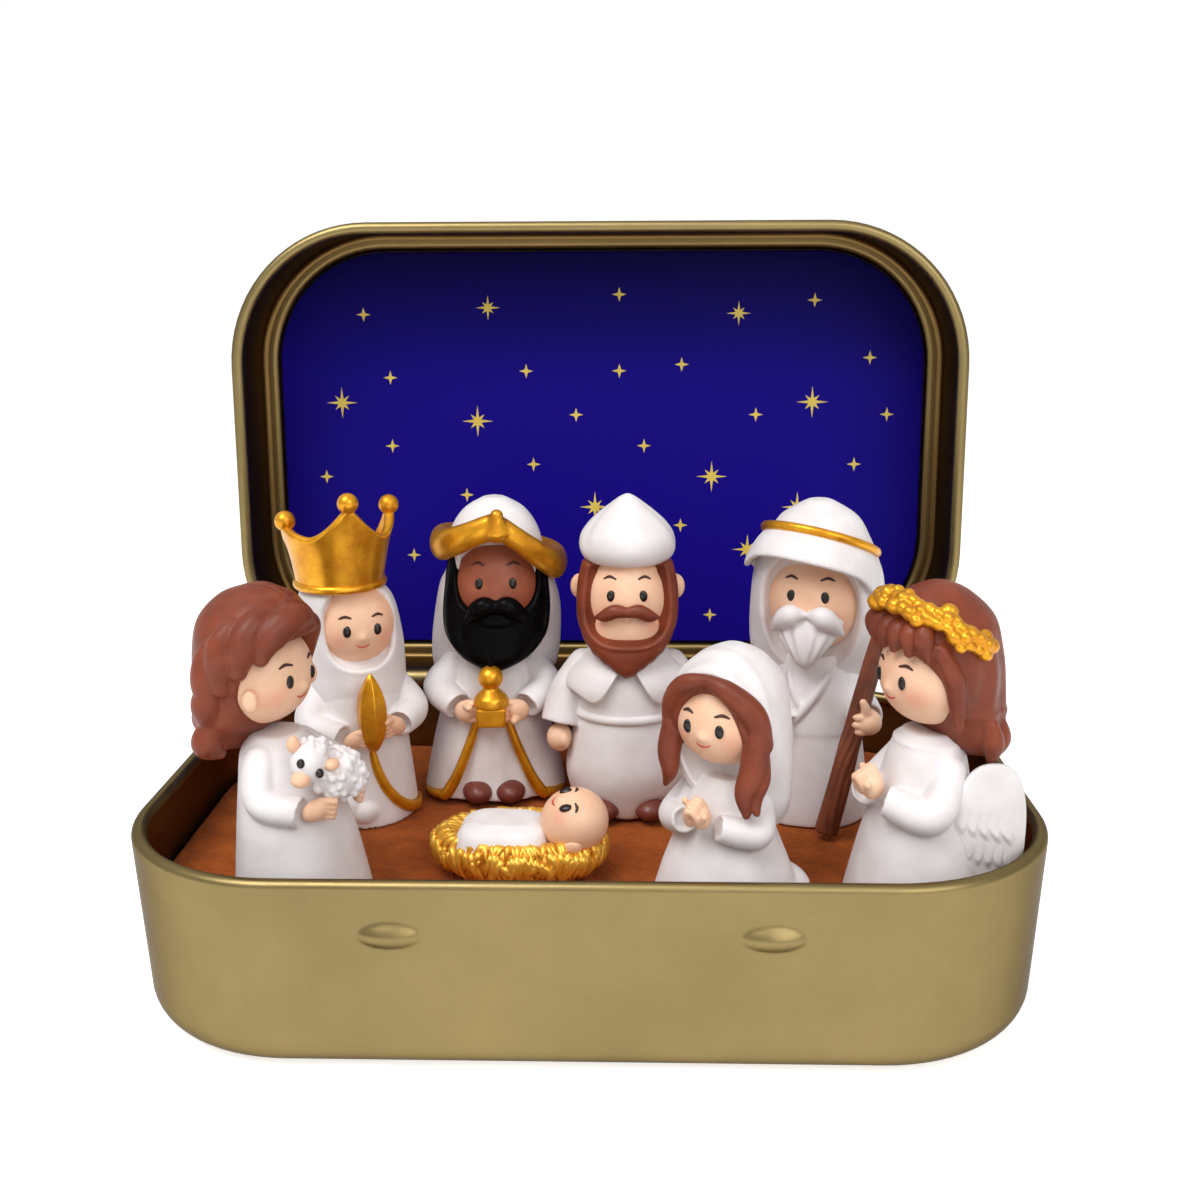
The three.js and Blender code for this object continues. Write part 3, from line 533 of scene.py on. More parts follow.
SHOE = paint("brown shoe paint", "shoe_paint", (122, 62, 50), (98, 48, 40), gloss=(0.3, 0.45))
STAFF = paint("wood-brown paint", "staff_paint", (132, 72, 46), (98, 50, 32), gloss=(0.4, 0.55), bump_mm=0.12)
INK = paint("pale gold ink", "night_print", (232, 206, 96), (222, 190, 78), gloss=(0.32, 0.4), bump_mm=0.0)
tint(SKIN, "blush", (238, 148, 124), 0.45)
tint(DARK_SKIN, "blush", (176, 78, 60), 0.5)
# Painted shade inside the tin: a dark brown mixed in where the inside attribute is high.
tint(TIN, "inside", (120, 94, 54), 0.9)

# %% [markdown]
# ## The view
# The photograph looks down on the tin by about fourteen degrees from close by. The camera's place, turn
# and focal length were found by laying the tin's outlines over it. The floor and the background are
# white to the eye, while two soft lamps and a pale surround give the plain light of a small photo tent.

# %% Camera
PHOTO_SIZE = 1200
FOCAL_PIXELS = 1364.0
CAMERA_PLACE = (6.29, -168.97, 89.60)
CAMERA_YAW, CAMERA_PITCH, CAMERA_ROLL = -0.0297, 0.2488, -0.005
scene = bpy.context.scene
scene.view_settings.view_transform = "Standard"


def photo_camera():
    """A camera whose axes are right, up and back: back is the reverse of the aim, which is +Y turned by
    the yaw and dipped by the pitch, and the roll turns right and up about it."""
    yaw, pitch = CAMERA_YAW, CAMERA_PITCH
    aim = np.array([math.sin(yaw) * math.cos(pitch), math.cos(yaw) * math.cos(pitch), -math.sin(pitch)])
    level = np.array([math.cos(yaw), -math.sin(yaw), 0.0])
    upright = np.cross(level, aim)
    right = math.cos(CAMERA_ROLL) * level + math.sin(CAMERA_ROLL) * upright
    up = np.cross(right, aim)
    data = bpy.data.cameras.new("photo camera")
    data.sensor_width = 36.0
    data.lens = FOCAL_PIXELS / PHOTO_SIZE * data.sensor_width
    data.clip_start = 0.01
    camera = bpy.data.objects.new("photo_camera", data)
    scene.collection.objects.link(camera)
    turn = Matrix(np.stack([right, up, -aim], axis=1).tolist()).to_4x4()
    camera.matrix_world = Matrix.Translation([c * MM for c in CAMERA_PLACE]) @ turn
    scene.camera = camera


photo_camera()
print("camera looks down by", round(math.degrees(CAMERA_PITCH), 1), "degrees")

# %% Floor
FLOOR_DEPTH, FLOOR_HALF, FLOOR_GLOW = 0.05, 3.0, 0.66


def seen_ray(tree):
    """1 for rays from the camera and for those that glass sends on, and 1 for those that metal sends on."""
    path = node(tree, "LightPath").outputs
    return calc(tree, "MAXIMUM", path["Is Camera Ray"], path["Is Transmission Ray"]), path["Is Glossy Ray"]


def white_floor():
    """Floor that is white in the light and keeps the tin's soft shadow."""
    mesh = bpy.data.meshes.new("floor")
    corners = [(-FLOOR_HALF, -FLOOR_HALF), (FLOOR_HALF, -FLOOR_HALF),
               (FLOOR_HALF, FLOOR_HALF), (-FLOOR_HALF, FLOOR_HALF)]
    mesh.from_pydata([(x, y, -FLOOR_DEPTH * MM) for x, y in corners], [], [(0, 1, 2, 3)])
    floor = bpy.data.objects.new("floor", mesh)
    scene.collection.objects.link(floor)
    material, tree, shader = blank("white floor")
    strength = calc(tree, "MULTIPLY", calc(tree, "MAXIMUM", *seen_ray(tree)), FLOOR_GLOW)
    shader.inputs["Base Color"].default_value = (0.8, 0.8, 0.8, 1)
    shader.inputs["Roughness"].default_value = 1.0
    shader.inputs["Specular IOR Level"].default_value = 0.0
    shader.inputs["Emission Color"].default_value = (1, 1, 1, 1)
    tree.links.new(strength, shader.inputs["Emission Strength"])
    mesh.materials.append(material)


white_floor()
print("floor", FLOOR_DEPTH, "mm below the tin")

# %% World
SURROUND, METAL_LIFT, METAL_FADE = 0.45, 0.36, -0.25


def pale_world():
    """White to the eye, and a paler surround that lights the object. In metal it darkens to both sides, by a
    quarter of the ray's |x|, as a room does beside a table."""
    world = bpy.data.worlds.new("pale surround")
    scene.world = world
    world.use_nodes = True
    tree = world.node_tree
    seen, glossy = seen_ray(tree)
    across = node(tree, "SeparateXYZ", Vector=node(tree, "TexCoord").outputs["Generated"]).outputs["X"]
    lift = calc(tree, "MULTIPLY_ADD", calc(tree, "ABSOLUTE", across), METAL_FADE, METAL_LIFT)
    shine = calc(tree, "MULTIPLY_ADD", glossy, lift, SURROUND)
    strength = node(tree, "Mix", {"data_type": "FLOAT"}, i0=seen, i2=shine, i3=1.0).outputs[0]
    background = tree.nodes["Background"]
    background.inputs["Color"].default_value = (1, 1, 1, 1)
    tree.links.new(strength, background.inputs["Strength"])


pale_world()
print("surround of the strength", SURROUND)

# %% Lamps
def soft_lamp(name, place, watts, target=(0, 0, 0.03), size=0.5):
    """Square area lamp that faces a point."""
    data = bpy.data.lights.new(name, "AREA")
    data.size = size
    data.energy = watts
    lamp = bpy.data.objects.new(name, data)
    scene.collection.objects.link(lamp)
    back = unit(np.array(place, float) - np.array(target, float))
    side = unit(np.cross([0, 0, 1.0], back))
    turn = Matrix(np.stack([side, np.cross(back, side), back], axis=1).tolist()).to_4x4()
    lamp.matrix_world = Matrix.Translation(place) @ turn


soft_lamp("key", (-0.3, -0.34, 0.76), 5.2)
soft_lamp("fill", (0.32, -0.52, 0.42), 2.0)
print("lamps:", len(bpy.data.lights))

# %% [markdown]
# ## The tin
# A tin like this is drawn from one sheet: a shallow pan with rounded corners whose edge is rolled into a
# bead. So its skin is one profile carried round the tin's outline: outside wall, bead, inside wall and
# floor. A bevelled box would give neither the bead nor the even wall. Two bumps are pressed out of the
# front wall, and they move the inner and the outer wall alike.

# %% The tin's outline
TIN_WIDTH, TIN_DEPTH, TRAY_HEIGHT, CORNER_RADIUS = 110.0, 70.0, 24.0, 21.0


def tin_outline(inset, straights):
    """Points round the tin's outline at each inset: a quarter circle of radius R - inset at each corner,
    and evenly spaced points on the straights, as many as given for the right, rear, left and front."""
    spots, spokes = [], []
    corners = [(1, 1), (-1, 1), (-1, -1), (1, -1)]
    half = np.array([TIN_WIDTH / 2 - CORNER_RADIUS, TIN_DEPTH / 2 - CORNER_RADIUS])
    for k, corner in enumerate(corners):
        following = (k + 1) % 4
        a = (k + np.linspace(0, 1, 19)) * np.pi / 2
        spots.append(np.repeat([half * corner], len(a), axis=0))
        spokes.append(np.stack([np.cos(a), np.sin(a)], axis=-1))
        along = np.linspace(0, 1, straights[following] + 2)[1:-1, None]
        spots.append(half * corner + along * (half * corners[following] - half * corner))
        spokes.append(np.repeat([[np.cos(a[-1]), np.sin(a[-1])]], len(along), axis=0))
    spot, spoke = np.concatenate(spots), np.concatenate(spokes)
    return spot[None] + (CORNER_RADIUS - np.asarray(inset)[:, None, None]) * spoke[None]


print("tin of", TIN_WIDTH, "x", TIN_DEPTH, "mm, corners of", CORNER_RADIUS, "mm")

# %% Profiles carried round the outline
SHEET, RIM_RADIUS, WALL_TAPER, BOTTOM_RADIUS = 0.5, 0.9, 0.9, 4.5
GAP, FLAT_EDGE = 0.3, 0.3
EVEN_STRAIGHTS = (14, 14, 14, 14)


def arc(inset, z, radius, start, stop, count):
    """Points of a profile, as [inset, z], on an arc between two angles in degrees."""
    a = np.radians(np.linspace(start, stop, count))
    return np.stack([inset - radius * np.cos(a), z + radius * np.sin(a)], axis=-1)


def line(first, last, count):
    """Points of a profile between two points, without the ends."""
    return np.linspace(first, last, count + 2)[1:-1]


def pan(profile, straights=EVEN_STRAIGHTS):
    """Grid of points that carries a profile of [inset, z] rows round the tin's outline."""
    flat = tin_outline(profile[:, 0], straights)
    height = np.broadcast_to(profile[:, 1][:, None, None], flat.shape[:2] + (1,))
    return np.concatenate([flat, height], axis=-1)


print("points round the outline:", tin_outline([0], EVEN_STRAIGHTS).shape[1])

# %% Pressed bumps and hinge tabs
BUMP_X, BUMP_Z, BUMP_HALF_LENGTH, BUMP_HALF_HEIGHT, BUMP_RISE = 20.9, 17.6, 3.7, 1.7, 1.05
HINGE_Y, HINGE_Z = TIN_DEPTH / 2 - RIM_RADIUS, TRAY_HEIGHT + GAP + RIM_RADIUS
TAB_X, TAB_WIDTH, TAB_SHEET, TAB_STEPS = 27.0, 10.0, 0.55, 8
TAB_INNER = RIM_RADIUS + GAP
TAB_OUTER = TAB_INNER + TAB_SHEET


def press_bumps(points):
    """Moves the front wall out by rise (1 - u^2)^0.8 (1 - |v|^1.4), a lens with a soft crease along it, where
    u is the distance from a bump's middle over its half length, and v the height over the lens's own."""
    x, y, z = np.moveaxis(points, -1, 0)
    u = np.clip((np.abs(x) - BUMP_X) / BUMP_HALF_LENGTH, -1, 1)
    v = np.clip((z - BUMP_Z) / (BUMP_HALF_HEIGHT * np.sqrt(1.0001 - u ** 2)), -1, 1)
    lens = (1 - u ** 2) ** 0.8 * (1 - np.abs(v) ** 1.4)
    y = np.where(y < -TIN_DEPTH / 2 + 2 * SHEET + WALL_TAPER, y - BUMP_RISE * lens, y)
    return np.stack([x, y, z], axis=-1)


def hinge_tab(x):
    """Strip of tinplate curled round the lid's rim: an arc of two radii, carried along the hinge."""
    a = np.radians(np.linspace(-100, 205, 60))
    bow = np.stack([np.cos(a), np.sin(a)], axis=-1)
    section = np.concatenate([TAB_OUTER * bow, (TAB_INNER * bow)[::-1]])
    run = np.linspace(-TAB_WIDTH / 2, TAB_WIDTH / 2, TAB_STEPS)
    rings = np.concatenate([np.broadcast_to(run[:, None, None], (TAB_STEPS, len(section), 1)),
                            np.broadcast_to(section[None], (TAB_STEPS, len(section), 2))], axis=-1)
    return skin(rings + [x, HINGE_Y, HINGE_Z])


print("hinge line", round(HINGE_Z, 1), "mm up, with tabs", TAB_WIDTH, "mm wide")

# %% Tray
TRAY_STRAIGHTS = (14, 90, 14, 300)
OUTER_ROWS, INNER_ROWS = 56, 40


def mark_painted_shade(piece, rows, sides):
    """Attribute for the painted shade inside: one value for each ring of the skin, and 0 elsewhere."""
    inside = np.zeros(len(piece.data.vertices))
    inside[:len(rows) * sides] = np.repeat(rows, sides)
    piece.data.attributes.new("inside", "FLOAT", "POINT").data.foreach_set("value", inside)


def tray():
    """The tray's profile: bottom, wall with its slight taper, rolled bead, inner wall and floor. The painted
    shade inside fades in over the last rows of the bead."""
    bottom = WALL_TAPER + BOTTOM_RADIUS
    outer = arc(bottom, BOTTOM_RADIUS, BOTTOM_RADIUS, -90, -8, 14)
    bead = arc(RIM_RADIUS, TRAY_HEIGHT - RIM_RADIUS, RIM_RADIUS, 0, 230, 26)
    inner = arc(bottom, BOTTOM_RADIUS, BOTTOM_RADIUS - SHEET, -8, -90, 10)
    wall_top = np.array([WALL_TAPER * 2 / TRAY_HEIGHT + SHEET, TRAY_HEIGHT - 2.2])
    profile = np.concatenate([
        [[bottom + FLAT_EDGE, 0]], outer, line(outer[-1], bead[0], OUTER_ROWS), bead, [wall_top],
        line(wall_top, inner[0], INNER_ROWS), inner, [[bottom + FLAT_EDGE, SHEET]]])
    points = press_bumps(pan(profile, TRAY_STRAIGHTS))
    shape = joined(skin(points), hinge_tab(-TAB_X), hinge_tab(TAB_X))
    piece = put("drawn_tin_tray", shape, TIN, "tray", ["tin_tray"])
    # painted shade on the inside of the tray, fading in over the last rows of the bead
    painted_shade_start, painted_shade_rows = 1 + len(outer) + OUTER_ROWS + len(bead) - 4, 6
    fade = np.clip((np.arange(len(profile)) - painted_shade_start) / painted_shade_rows, 0, 1)
    mark_painted_shade(piece, fade, points.shape[1])


tray()
print("tray", TRAY_HEIGHT, "mm high, with a bead of", 2 * RIM_RADIUS, "mm")

# %% Swinging the lid open
LID_OPEN = 93.0


def tilted(shape, axis, degrees):
    """A skin turned about one of the axes through the origin."""
    vertices, quads, triangles = shape
    turn = np.array(Matrix.Rotation(math.radians(degrees), 3, axis))
    return vertices @ turn.T, quads, triangles


def opened(shape):
    """A skin drawn closed, about the hinge line, and swung open: y and z turn by the opening angle."""
    vertices, quads, triangles = tilted(shape, "X", -LID_OPEN)
    return vertices + [0, HINGE_Y, HINGE_Z], quads, triangles


print("lid stands", LID_OPEN, "degrees open")

# %% Windows for the hinge tabs
SLOT_REACH, SLOT_PLAY = 2.3, 0.4


def cut_windows(piece):
    """Cuts the two slots for the hinge tabs into the lid's rear wall, but leaves its rolled rim whole."""
    half = np.array([TAB_WIDTH / 2 + SLOT_PLAY, 1.0, (SLOT_REACH - RIM_RADIUS) / 2])
    ring = np.array([[-1, -1], [1, -1], [1, 1], [-1, 1]])
    box = np.stack([np.concatenate([ring, np.full((4, 1), z)], axis=1) for z in (-1, 1)])
    slots = [skin(box * half + [x, 0.2, (SLOT_REACH + RIM_RADIUS) / 2]) for x in (-TAB_X, TAB_X)]
    cutter = solid("hinge_slots", opened(joined(*slots)), TIN)
    difference = piece.modifiers.new("hinge slots", "BOOLEAN")
    difference.object = cutter
    difference.solver = "EXACT"
    cut = piece.evaluated_get(bpy.context.evaluated_depsgraph_get())
    piece.data = bpy.data.meshes.new_from_object(cut)
    piece.modifiers.clear()
    bpy.data.objects.remove(cutter)


print("windows", TAB_WIDTH + 2 * SLOT_PLAY, "mm wide")

# %% Lid
LID_DEPTH, LID_SHOULDER, LID_RIDGE, LID_FOLD = 17.2, 15.1, 0.9, 1.5
CARD_INSET = 3.4


def lid():
    """The lid's profile: from the back of the card over the shoulder bead and the rolled rim to the top.
    Painted
    shade darkens the inside: the wall inside is the darkest, and the frame round the card lies between."""
    step = CARD_INSET - GAP
    flat = [[step + FLAT_EDGE, LID_DEPTH - SHEET], [step, LID_DEPTH - SHEET]]
    frame_bead = arc(step - LID_RIDGE, LID_SHOULDER + LID_RIDGE, LID_RIDGE, 180, 270, 8)
    shoulder_in = arc(SHEET + LID_FOLD - 0.4, LID_SHOULDER - LID_RIDGE, LID_RIDGE, 90, 0, 8)
    foot = np.array([SHEET + 0.05, 2 * RIM_RADIUS])
    wall = np.concatenate([shoulder_in, line(shoulder_in[-1], foot, 8), [foot]])
    edge = arc(RIM_RADIUS, 0, RIM_RADIUS, 130, 360, 26)
    shoulder_out = arc(LID_FOLD + 0.2, LID_SHOULDER + SHEET - LID_FOLD, LID_FOLD, 0, 90, 10)
    profile = np.concatenate([
        flat, frame_bead, wall, edge, line(edge[-1], shoulder_out[0], 8), shoulder_out,
        arc(step - 2 * SHEET, LID_SHOULDER + 2 * SHEET, SHEET, 270, 180, 6),
        arc(step, LID_DEPTH - SHEET, SHEET, 0, 90, 6), [[step + FLAT_EDGE, LID_DEPTH]]])
    points = pan(profile) - [0, HINGE_Y, 0]
    piece = put("drawn_tin_lid", opened(skin(points)), TIN, "lid", ["tin_lid"])
    frame_rows = len(flat) + len(frame_bead)
    # painted shade: half on the frame round the card, full on the wall inside
    painted_shade_share = np.zeros(len(profile))
    painted_shade_share[:frame_rows] = 0.55
    painted_shade_share[frame_rows:frame_rows + len(wall)] = 1.0
    mark_painted_shade(piece, painted_shade_share, points.shape[1])
    cut_windows(piece)


lid()
print("lid", LID_DEPTH, "mm deep")

# %% [markdown]
# ## Card and insert
# The card is a sheet with a printed night sky: a deep indigo, darkened upwards by painted shade, and
# scattered stars with four or eight points. The stars are thin plates let into the card, because print has
# sharp edges at any distance. The insert is a soft brown pad with a nap, so it gets sheen and a grainy bump.

# %% Star plates
CARD_THICKNESS = 0.4
CARD_FACE = LID_DEPTH - SHEET - GAP - CARD_THICKNESS
PRINT_RISE, PRINT_SUNK = 0.02, 0.1


def star_plates(places, points, tips, inner):
    """Thin star plates on the closed lid's card. Round each centre the radius goes through the tips' radii
    in turn, with the inner radius in between."""
    radii = np.stack([np.resize(tips, points), np.full(points, inner)], axis=1).ravel()
    a = angles(2 * points) + np.pi / 2
    outline = np.stack([radii * np.cos(a), radii * np.sin(a)], axis=-1)
    x, s = np.array(places, float).T
    flat = np.stack([x, -s], axis=-1)[:, None, None, :] + outline[None, None]
    flat = np.broadcast_to(flat, (len(places), 2, 2 * points, 2))
    depth = np.array([CARD_FACE + PRINT_SUNK, CARD_FACE - PRINT_RISE])[None, :, None, None]
    return skin(np.concatenate([flat, np.broadcast_to(depth, flat.shape[:3] + (1,))], axis=-1))


print("the card's face lies", round(CARD_FACE, 1), "mm up in the closed lid")

# %% Star card
CARD_BEVEL = 0.06
BIG_STARS = [(-42, 42), (-20, 39), (34, 42), (18, 30), (-1, 25), (24, 18), (32, 25)]
MIDDLE_STARS = [(-18, 57), (22, 56)]
SMALL_STARS = [(-38, 56), (-34, 46), (-12, 47), (3, 59), (3, 47), (13, 48), (34, 58), (43, 49), (46, 40),
               (25, 40), (-4, 40), (7, 35), (-34, 35), (-45, 30), (-11, 32), (-22, 27), (13, 22), (41, 32),
               (18, 7), (-31, 17)]


def night_print():
    """Indigo print, darkened towards the top by painted shade, under a thin gloss."""
    material, tree, shader = blank("night sky print")
    height = node(tree, "SeparateXYZ", Vector=object_place(tree)).outputs["Z"]
    # painted shade: the indigo darkens towards the top of the card
    sky = mix_colour(tree, spread(tree, height, 0.07, 0.096), colour(23, 9, 130), colour(4, 2, 46))
    tree.links.new(sky, shader.inputs["Base Color"])
    shader.inputs["Roughness"].default_value = 0.4
    shader.inputs["Specular IOR Level"].default_value = 0.06
    return material


def star_card():
    """The card, with slightly bevelled edges, and its stars, on the open lid."""
    back = CARD_FACE + CARD_THICKNESS
    profile = np.array([
        [CARD_INSET + FLAT_EDGE, CARD_FACE], [CARD_INSET + CARD_BEVEL, CARD_FACE],
        [CARD_INSET, CARD_FACE + CARD_BEVEL], [CARD_INSET, back - CARD_BEVEL],
        [CARD_INSET + CARD_BEVEL, back], [CARD_INSET + FLAT_EDGE, back]])
    sheet = skin(pan(profile) - [0, HINGE_Y, 0])
    put("printed_star_card", opened(sheet), night_print(), "lid", ["star_card"])
    stars = joined(star_plates(BIG_STARS, 8, [2.55, 1.6], 0.66),
                   star_plates(MIDDLE_STARS, 8, [1.95, 1.25], 0.54),
                   star_plates(SMALL_STARS, 4, [1.15], 0.36))
    piece = put("printed_stars", opened(stars), INK, "lid")
    piece.data.polygons.foreach_set("use_smooth", np.zeros(len(piece.data.polygons), bool))


star_card()
print("stars on the card:", len(BIG_STARS + MIDDLE_STARS + SMALL_STARS))

# %% Floor insert
INSERT_TOP, INSERT_PLAY, INSERT_ROUND = 14.5, 0.4, 1.0
INSERT_STRAIGHTS = (30, 40, 30, 40)


def suede():
    """Napped brown: mottled colour, a fine grain and a sheen."""
    material, tree, shader = blank("brown suede")
    place = object_place(tree)
    mottle = spread(tree, noise(tree, place, 220, 6, 0.7), 0.32, 0.7)
    nap = mix_colour(tree, mottle, colour(176, 91, 36), colour(128, 62, 24))
    tree.links.new(nap, shader.inputs["Base Color"])
    grain = node(tree, "TexVoronoi", Vector=place, Scale=1900.0).outputs["Distance"]
    bump(tree, shader, calc(tree, "ADD", grain, noise(tree, place, 900, 5, 0.7)), 0.7, 0.25)
    shader.inputs["Roughness"].default_value = 0.95
    shader.inputs["Specular IOR Level"].default_value = 0.05
    shader.inputs["Sheen Weight"].default_value = 0.05
    return material


def floor_insert():
    """Pad with rounded upper edges whose sides follow the tray's wall, leaving a little play."""
    side = SHEET + INSERT_PLAY
    top = WALL_TAPER * (1 - INSERT_TOP / TRAY_HEIGHT) + side
    base = WALL_TAPER + BOTTOM_RADIUS + INSERT_PLAY
    foot = [[base + FLAT_EDGE, SHEET + GAP], [base, SHEET + GAP],
            [WALL_TAPER + side + 1.2, 2], [WALL_TAPER + side - 0.2, BOTTOM_RADIUS + GAP]]
    edge = arc(top + INSERT_ROUND, INSERT_TOP - INSERT_ROUND, INSERT_ROUND, 0, 90, 8)
    surface = line(edge[-1], [CORNER_RADIUS - 0.5, INSERT_TOP], 24)
    shape = skin(pan(np.concatenate([foot, edge, surface]), INSERT_STRAIGHTS))
    put("napped_floor_insert", shape, suede(), "tray", ["floor_insert"])


floor_insert()
print("insert's top at", INSERT_TOP, "mm")

# %% [markdown]
# ## The figures
# Each figure is a small moulding of smooth rounded forms, painted in flat colours. It is drawn facing the
# front round its own axis and then set on its place in the tin. Robes, hands and hair are several forms
# melted into one, as a modeller would smooth clay. The faces are plain doll faces of one pattern: oval
# eyes at mid-height, short brows, a small nose and mouth, and a touch of blush.

# %% Standing a figure in the tin
FIGURE_BASE = INSERT_TOP + GAP


def soften(piece, voxel, passes):
    """Melts the skins of a piece into one clay-like body: a voxel remesh, then a few rounds of smoothing."""
    remesh = piece.modifiers.new("melt", "REMESH")
    remesh.mode = "VOXEL"
    remesh.voxel_size = voxel * MM
    remesh.use_smooth_shade = True
    smooth = piece.modifiers.new("smooth", "SMOOTH")
    smooth.factor = 0.5
    smooth.iterations = passes
    return piece


def stand(body, x, y, turn, prefix=None):
    """Gives the function that adds pieces to a figure on its place. A piece with own=False is a painted
    detail that stands for no solid, and melt holds the voxel and the rounds for soften."""
    def add(part, shape, material, melt=None, own=True):
        name = f"{prefix or body}_{part}"
        placed = moved(shape, (x, y, FIGURE_BASE), turn)
        piece = put(f"painted_{name}", placed, material, body, [name] if own else [])
        return soften(piece, *melt) if melt else piece
    return add


def tell(figure):
    """Prints the pieces that a figure has so far."""
    start = f"painted_{figure}_"
    names = [o.name.removeprefix(start) for o in bpy.data.objects if o.name.startswith(start)]
    print(f"{figure}:", ", ".join(names))


print("figures stand", round(FIGURE_BASE, 1), "mm above the ground")

# %% Heads
NOSE_DROP, NOSE_RISE, NOSE_WIDTH = 0.2, 0.09, 0.12
CHEEK_PLACE, BLUSH_WIDTH = (0.55, -0.27), 0.2


def head(add, size, place, material=SKIN, lumps=()):
    """Egg with a nose, which stands ahead by its rise times exp(-(distance / width)^2), and with ears or a
    chin as further eggs. The blush is an attribute that fades in the same way round the cheeks."""
    size, place = np.asarray(size, float), np.asarray(place, float)
    grid = ball_grid(72, 112)
    x, y, z = np.moveaxis(grid, -1, 0)
    nose = np.exp(-(x ** 2 + (z + NOSE_DROP) ** 2) / NOSE_WIDTH ** 2) * (y < 0)
    ball = skin((grid - np.stack([0 * x, NOSE_RISE * nose, 0 * x], axis=-1)) * size + place)
    shape = joined(ball, *(egg(*lump) for lump in lumps))
    piece = add("head", shape, material)
    x, y, z = ((shape[0] - place) / size).T
    distance = np.hypot(np.abs(x) - CHEEK_PLACE[0], z - CHEEK_PLACE[1])
    blush = np.exp(-(distance / BLUSH_WIDTH) ** 2) * (y < 0)
    piece.data.attributes.new("blush", "FLOAT", "POINT").data.foreach_set("value", blush)


print("a nose stands ahead by", NOSE_RISE, "of the head's half depth")

# %% Plain doll faces
SIDES = np.array([-1, 1])
EYE_PLACE, BROW_PLACE, MOUTH_PLACE = (0.35, -0.02), (0.38, 0.27), (0.15, -0.4)
EYE_SIZE, BROW_RADII, LIP_RADII = [0.56, 0.3, 0.78], (0.12, 0.2, 0.12), (0.08, 0.15, 0.16, 0.15, 0.08)


def on_head(size, place, x, z):
    """Points on the front of a head. x and z are shares of its radii, and y is -sqrt(1 - x^2 - z^2)."""
    x, z = np.broadcast_arrays(np.asarray(x, float), np.asarray(z, float))
    return np.stack([x, -np.sqrt(1 - x ** 2 - z ** 2), z], axis=-1) * np.asarray(size) + place


def face(add, size, place, mouth=True, level=0.0):
    """Eyes, brows and mouth of the plain doll face. level moves the eyes and brows up, as a share of the
    head's half height."""
    eyes = on_head(size, place, EYE_PLACE[0] * SIDES, EYE_PLACE[1] + level)
    add("eyes", eggs([EYE_SIZE] * 2, eyes, rows=16, sides=20), EYE, own=False)
    x, z = BROW_PLACE[0], BROW_PLACE[1] + level
    arch_x, arch_z = np.array([x - 0.13, x, x + 0.12]), [z + 0.01, z + 0.045, z]
    arches = [on_head(size, place, side * arch_x, arch_z) for side in SIDES]
    brows = [limb(arch, BROW_RADII, rows=16, sides=12) for arch in arches]
    add("brows", joined(*brows), BROW, own=False)
    if mouth:
        x, z = MOUTH_PLACE
        smile = on_head(size, place, [-x, -x / 2, 0, x / 2, x], [z + 0.05, z + 0.012, z, z + 0.012, z + 0.05])
        add("mouth", limb(smile, LIP_RADII, rows=20, sides=12), LIP, own=False)


print("eyes", EYE_SIZE[2] * 2, "mm high")

# %% Hands and robes
FINE_MELT = (0.14, 3)


def hand(place, along, across, scale=1.0):
    """Small moulded hand: an egg for the palm, four fingers side by side that curl by the square of the
    distance along them, and a thumb on top."""
    along, across = unit(np.asarray(along, float)), unit(np.asarray(across, float))
    through = np.cross(along, across)
    axes = np.stack([across, through, along])[None]
    palm = eggs(np.array([1.4, 1.0, 1.5]) * scale, place, axes, rows=20, sides=28)
    run = np.linspace(0, 1, 9)[None, :, None] * scale
    spaced = np.array([-1.02, -0.34, 0.34, 1.02])[:, None, None] * scale
    fingers = np.asarray(place) + spaced * across + (0.3 + 1.6 * run) * along + 0.5 * run ** 2 * through
    thumb = np.asarray(place) + (0.5 + 0.9 * run) * along - (0.5 + 0.5 * run) * through - 0.9 * scale * across
    return joined(palm, tubes(fingers, 0.48 * scale, 12), tubes(thumb, 0.46 * scale, 12))


def robe(levels, arms, radii, fold=None, extra=(), hollow=0.4):
    """Robe with sleeves that are hollow at the cuff."""
    return joined(form(levels, fold=fold), *(limb(arm, radii, hollow=hollow) for arm in arms), *extra)


def folds(count, depth, top, phase=0.0):
    """Soft upright folds that fade towards the height top: depth (1 - z / top) sin(count a + phase)."""
    return lambda a, z: depth * np.clip(1 - z / top, 0, 1) * np.sin(count * a + phase)


print("small parts melt with a voxel of", FINE_MELT[0], "mm")

# %% [markdown]
# ## Shepherd with a lamb
# The shepherd's hair is modelled in heavy swept locks. They could be carved in sculpt mode. Here they are
# limbs laid on a covering and melted into it, so each lock is one short path that can be moved. The lamb in
# the arms is an egg with a coat of small lumps, scattered by one seeded draw over its back.

# %% Shepherd's robe and head
SHEPHERD_TURN = 70


def twins(size, place):
    """The sizes and places of two eggs, mirrored across the figure."""
    x, y, z = place
    return [(size, [side * x, y, z]) for side in SIDES]


shepherd = stand("shepherd", -33.8, -20.0, SHEPHERD_TURN)
gown = [[0, 8.0, 7.6], [0.5, 8.4, 8.0], [9, 7.2, 6.8, 0, 0.6], [15, 5.9, 5.4, 0, 1.5],
        [19, 4.8, 4.3, 0, 2.2], [21, 3, 2.8, 0, 2.4]]
arms = [[[-3.9, 2.1, 18.4], [-5.8, 0.9, 14.4], [-4.9, -3.4, 13.4]],
        [[4.1, 2.1, 18.2], [5.4, -2.2, 15.6], [2.8, -5.4, 15.0]]]
shepherd("robe", robe(gown, arms, (2.0, 2.0, 1.85), folds(5, 0.025, 15, 0.6)), WHITE, melt=(0.22, 5))
size, place = [6.2, 6.0, 6.1], [0, 4.2, 28.0]
head(shepherd, size, place, lumps=twins([0.6, 1.0, 1.3], [6.0, 1.5, 26.4]))
face(shepherd, size, place)
tell("shepherd")

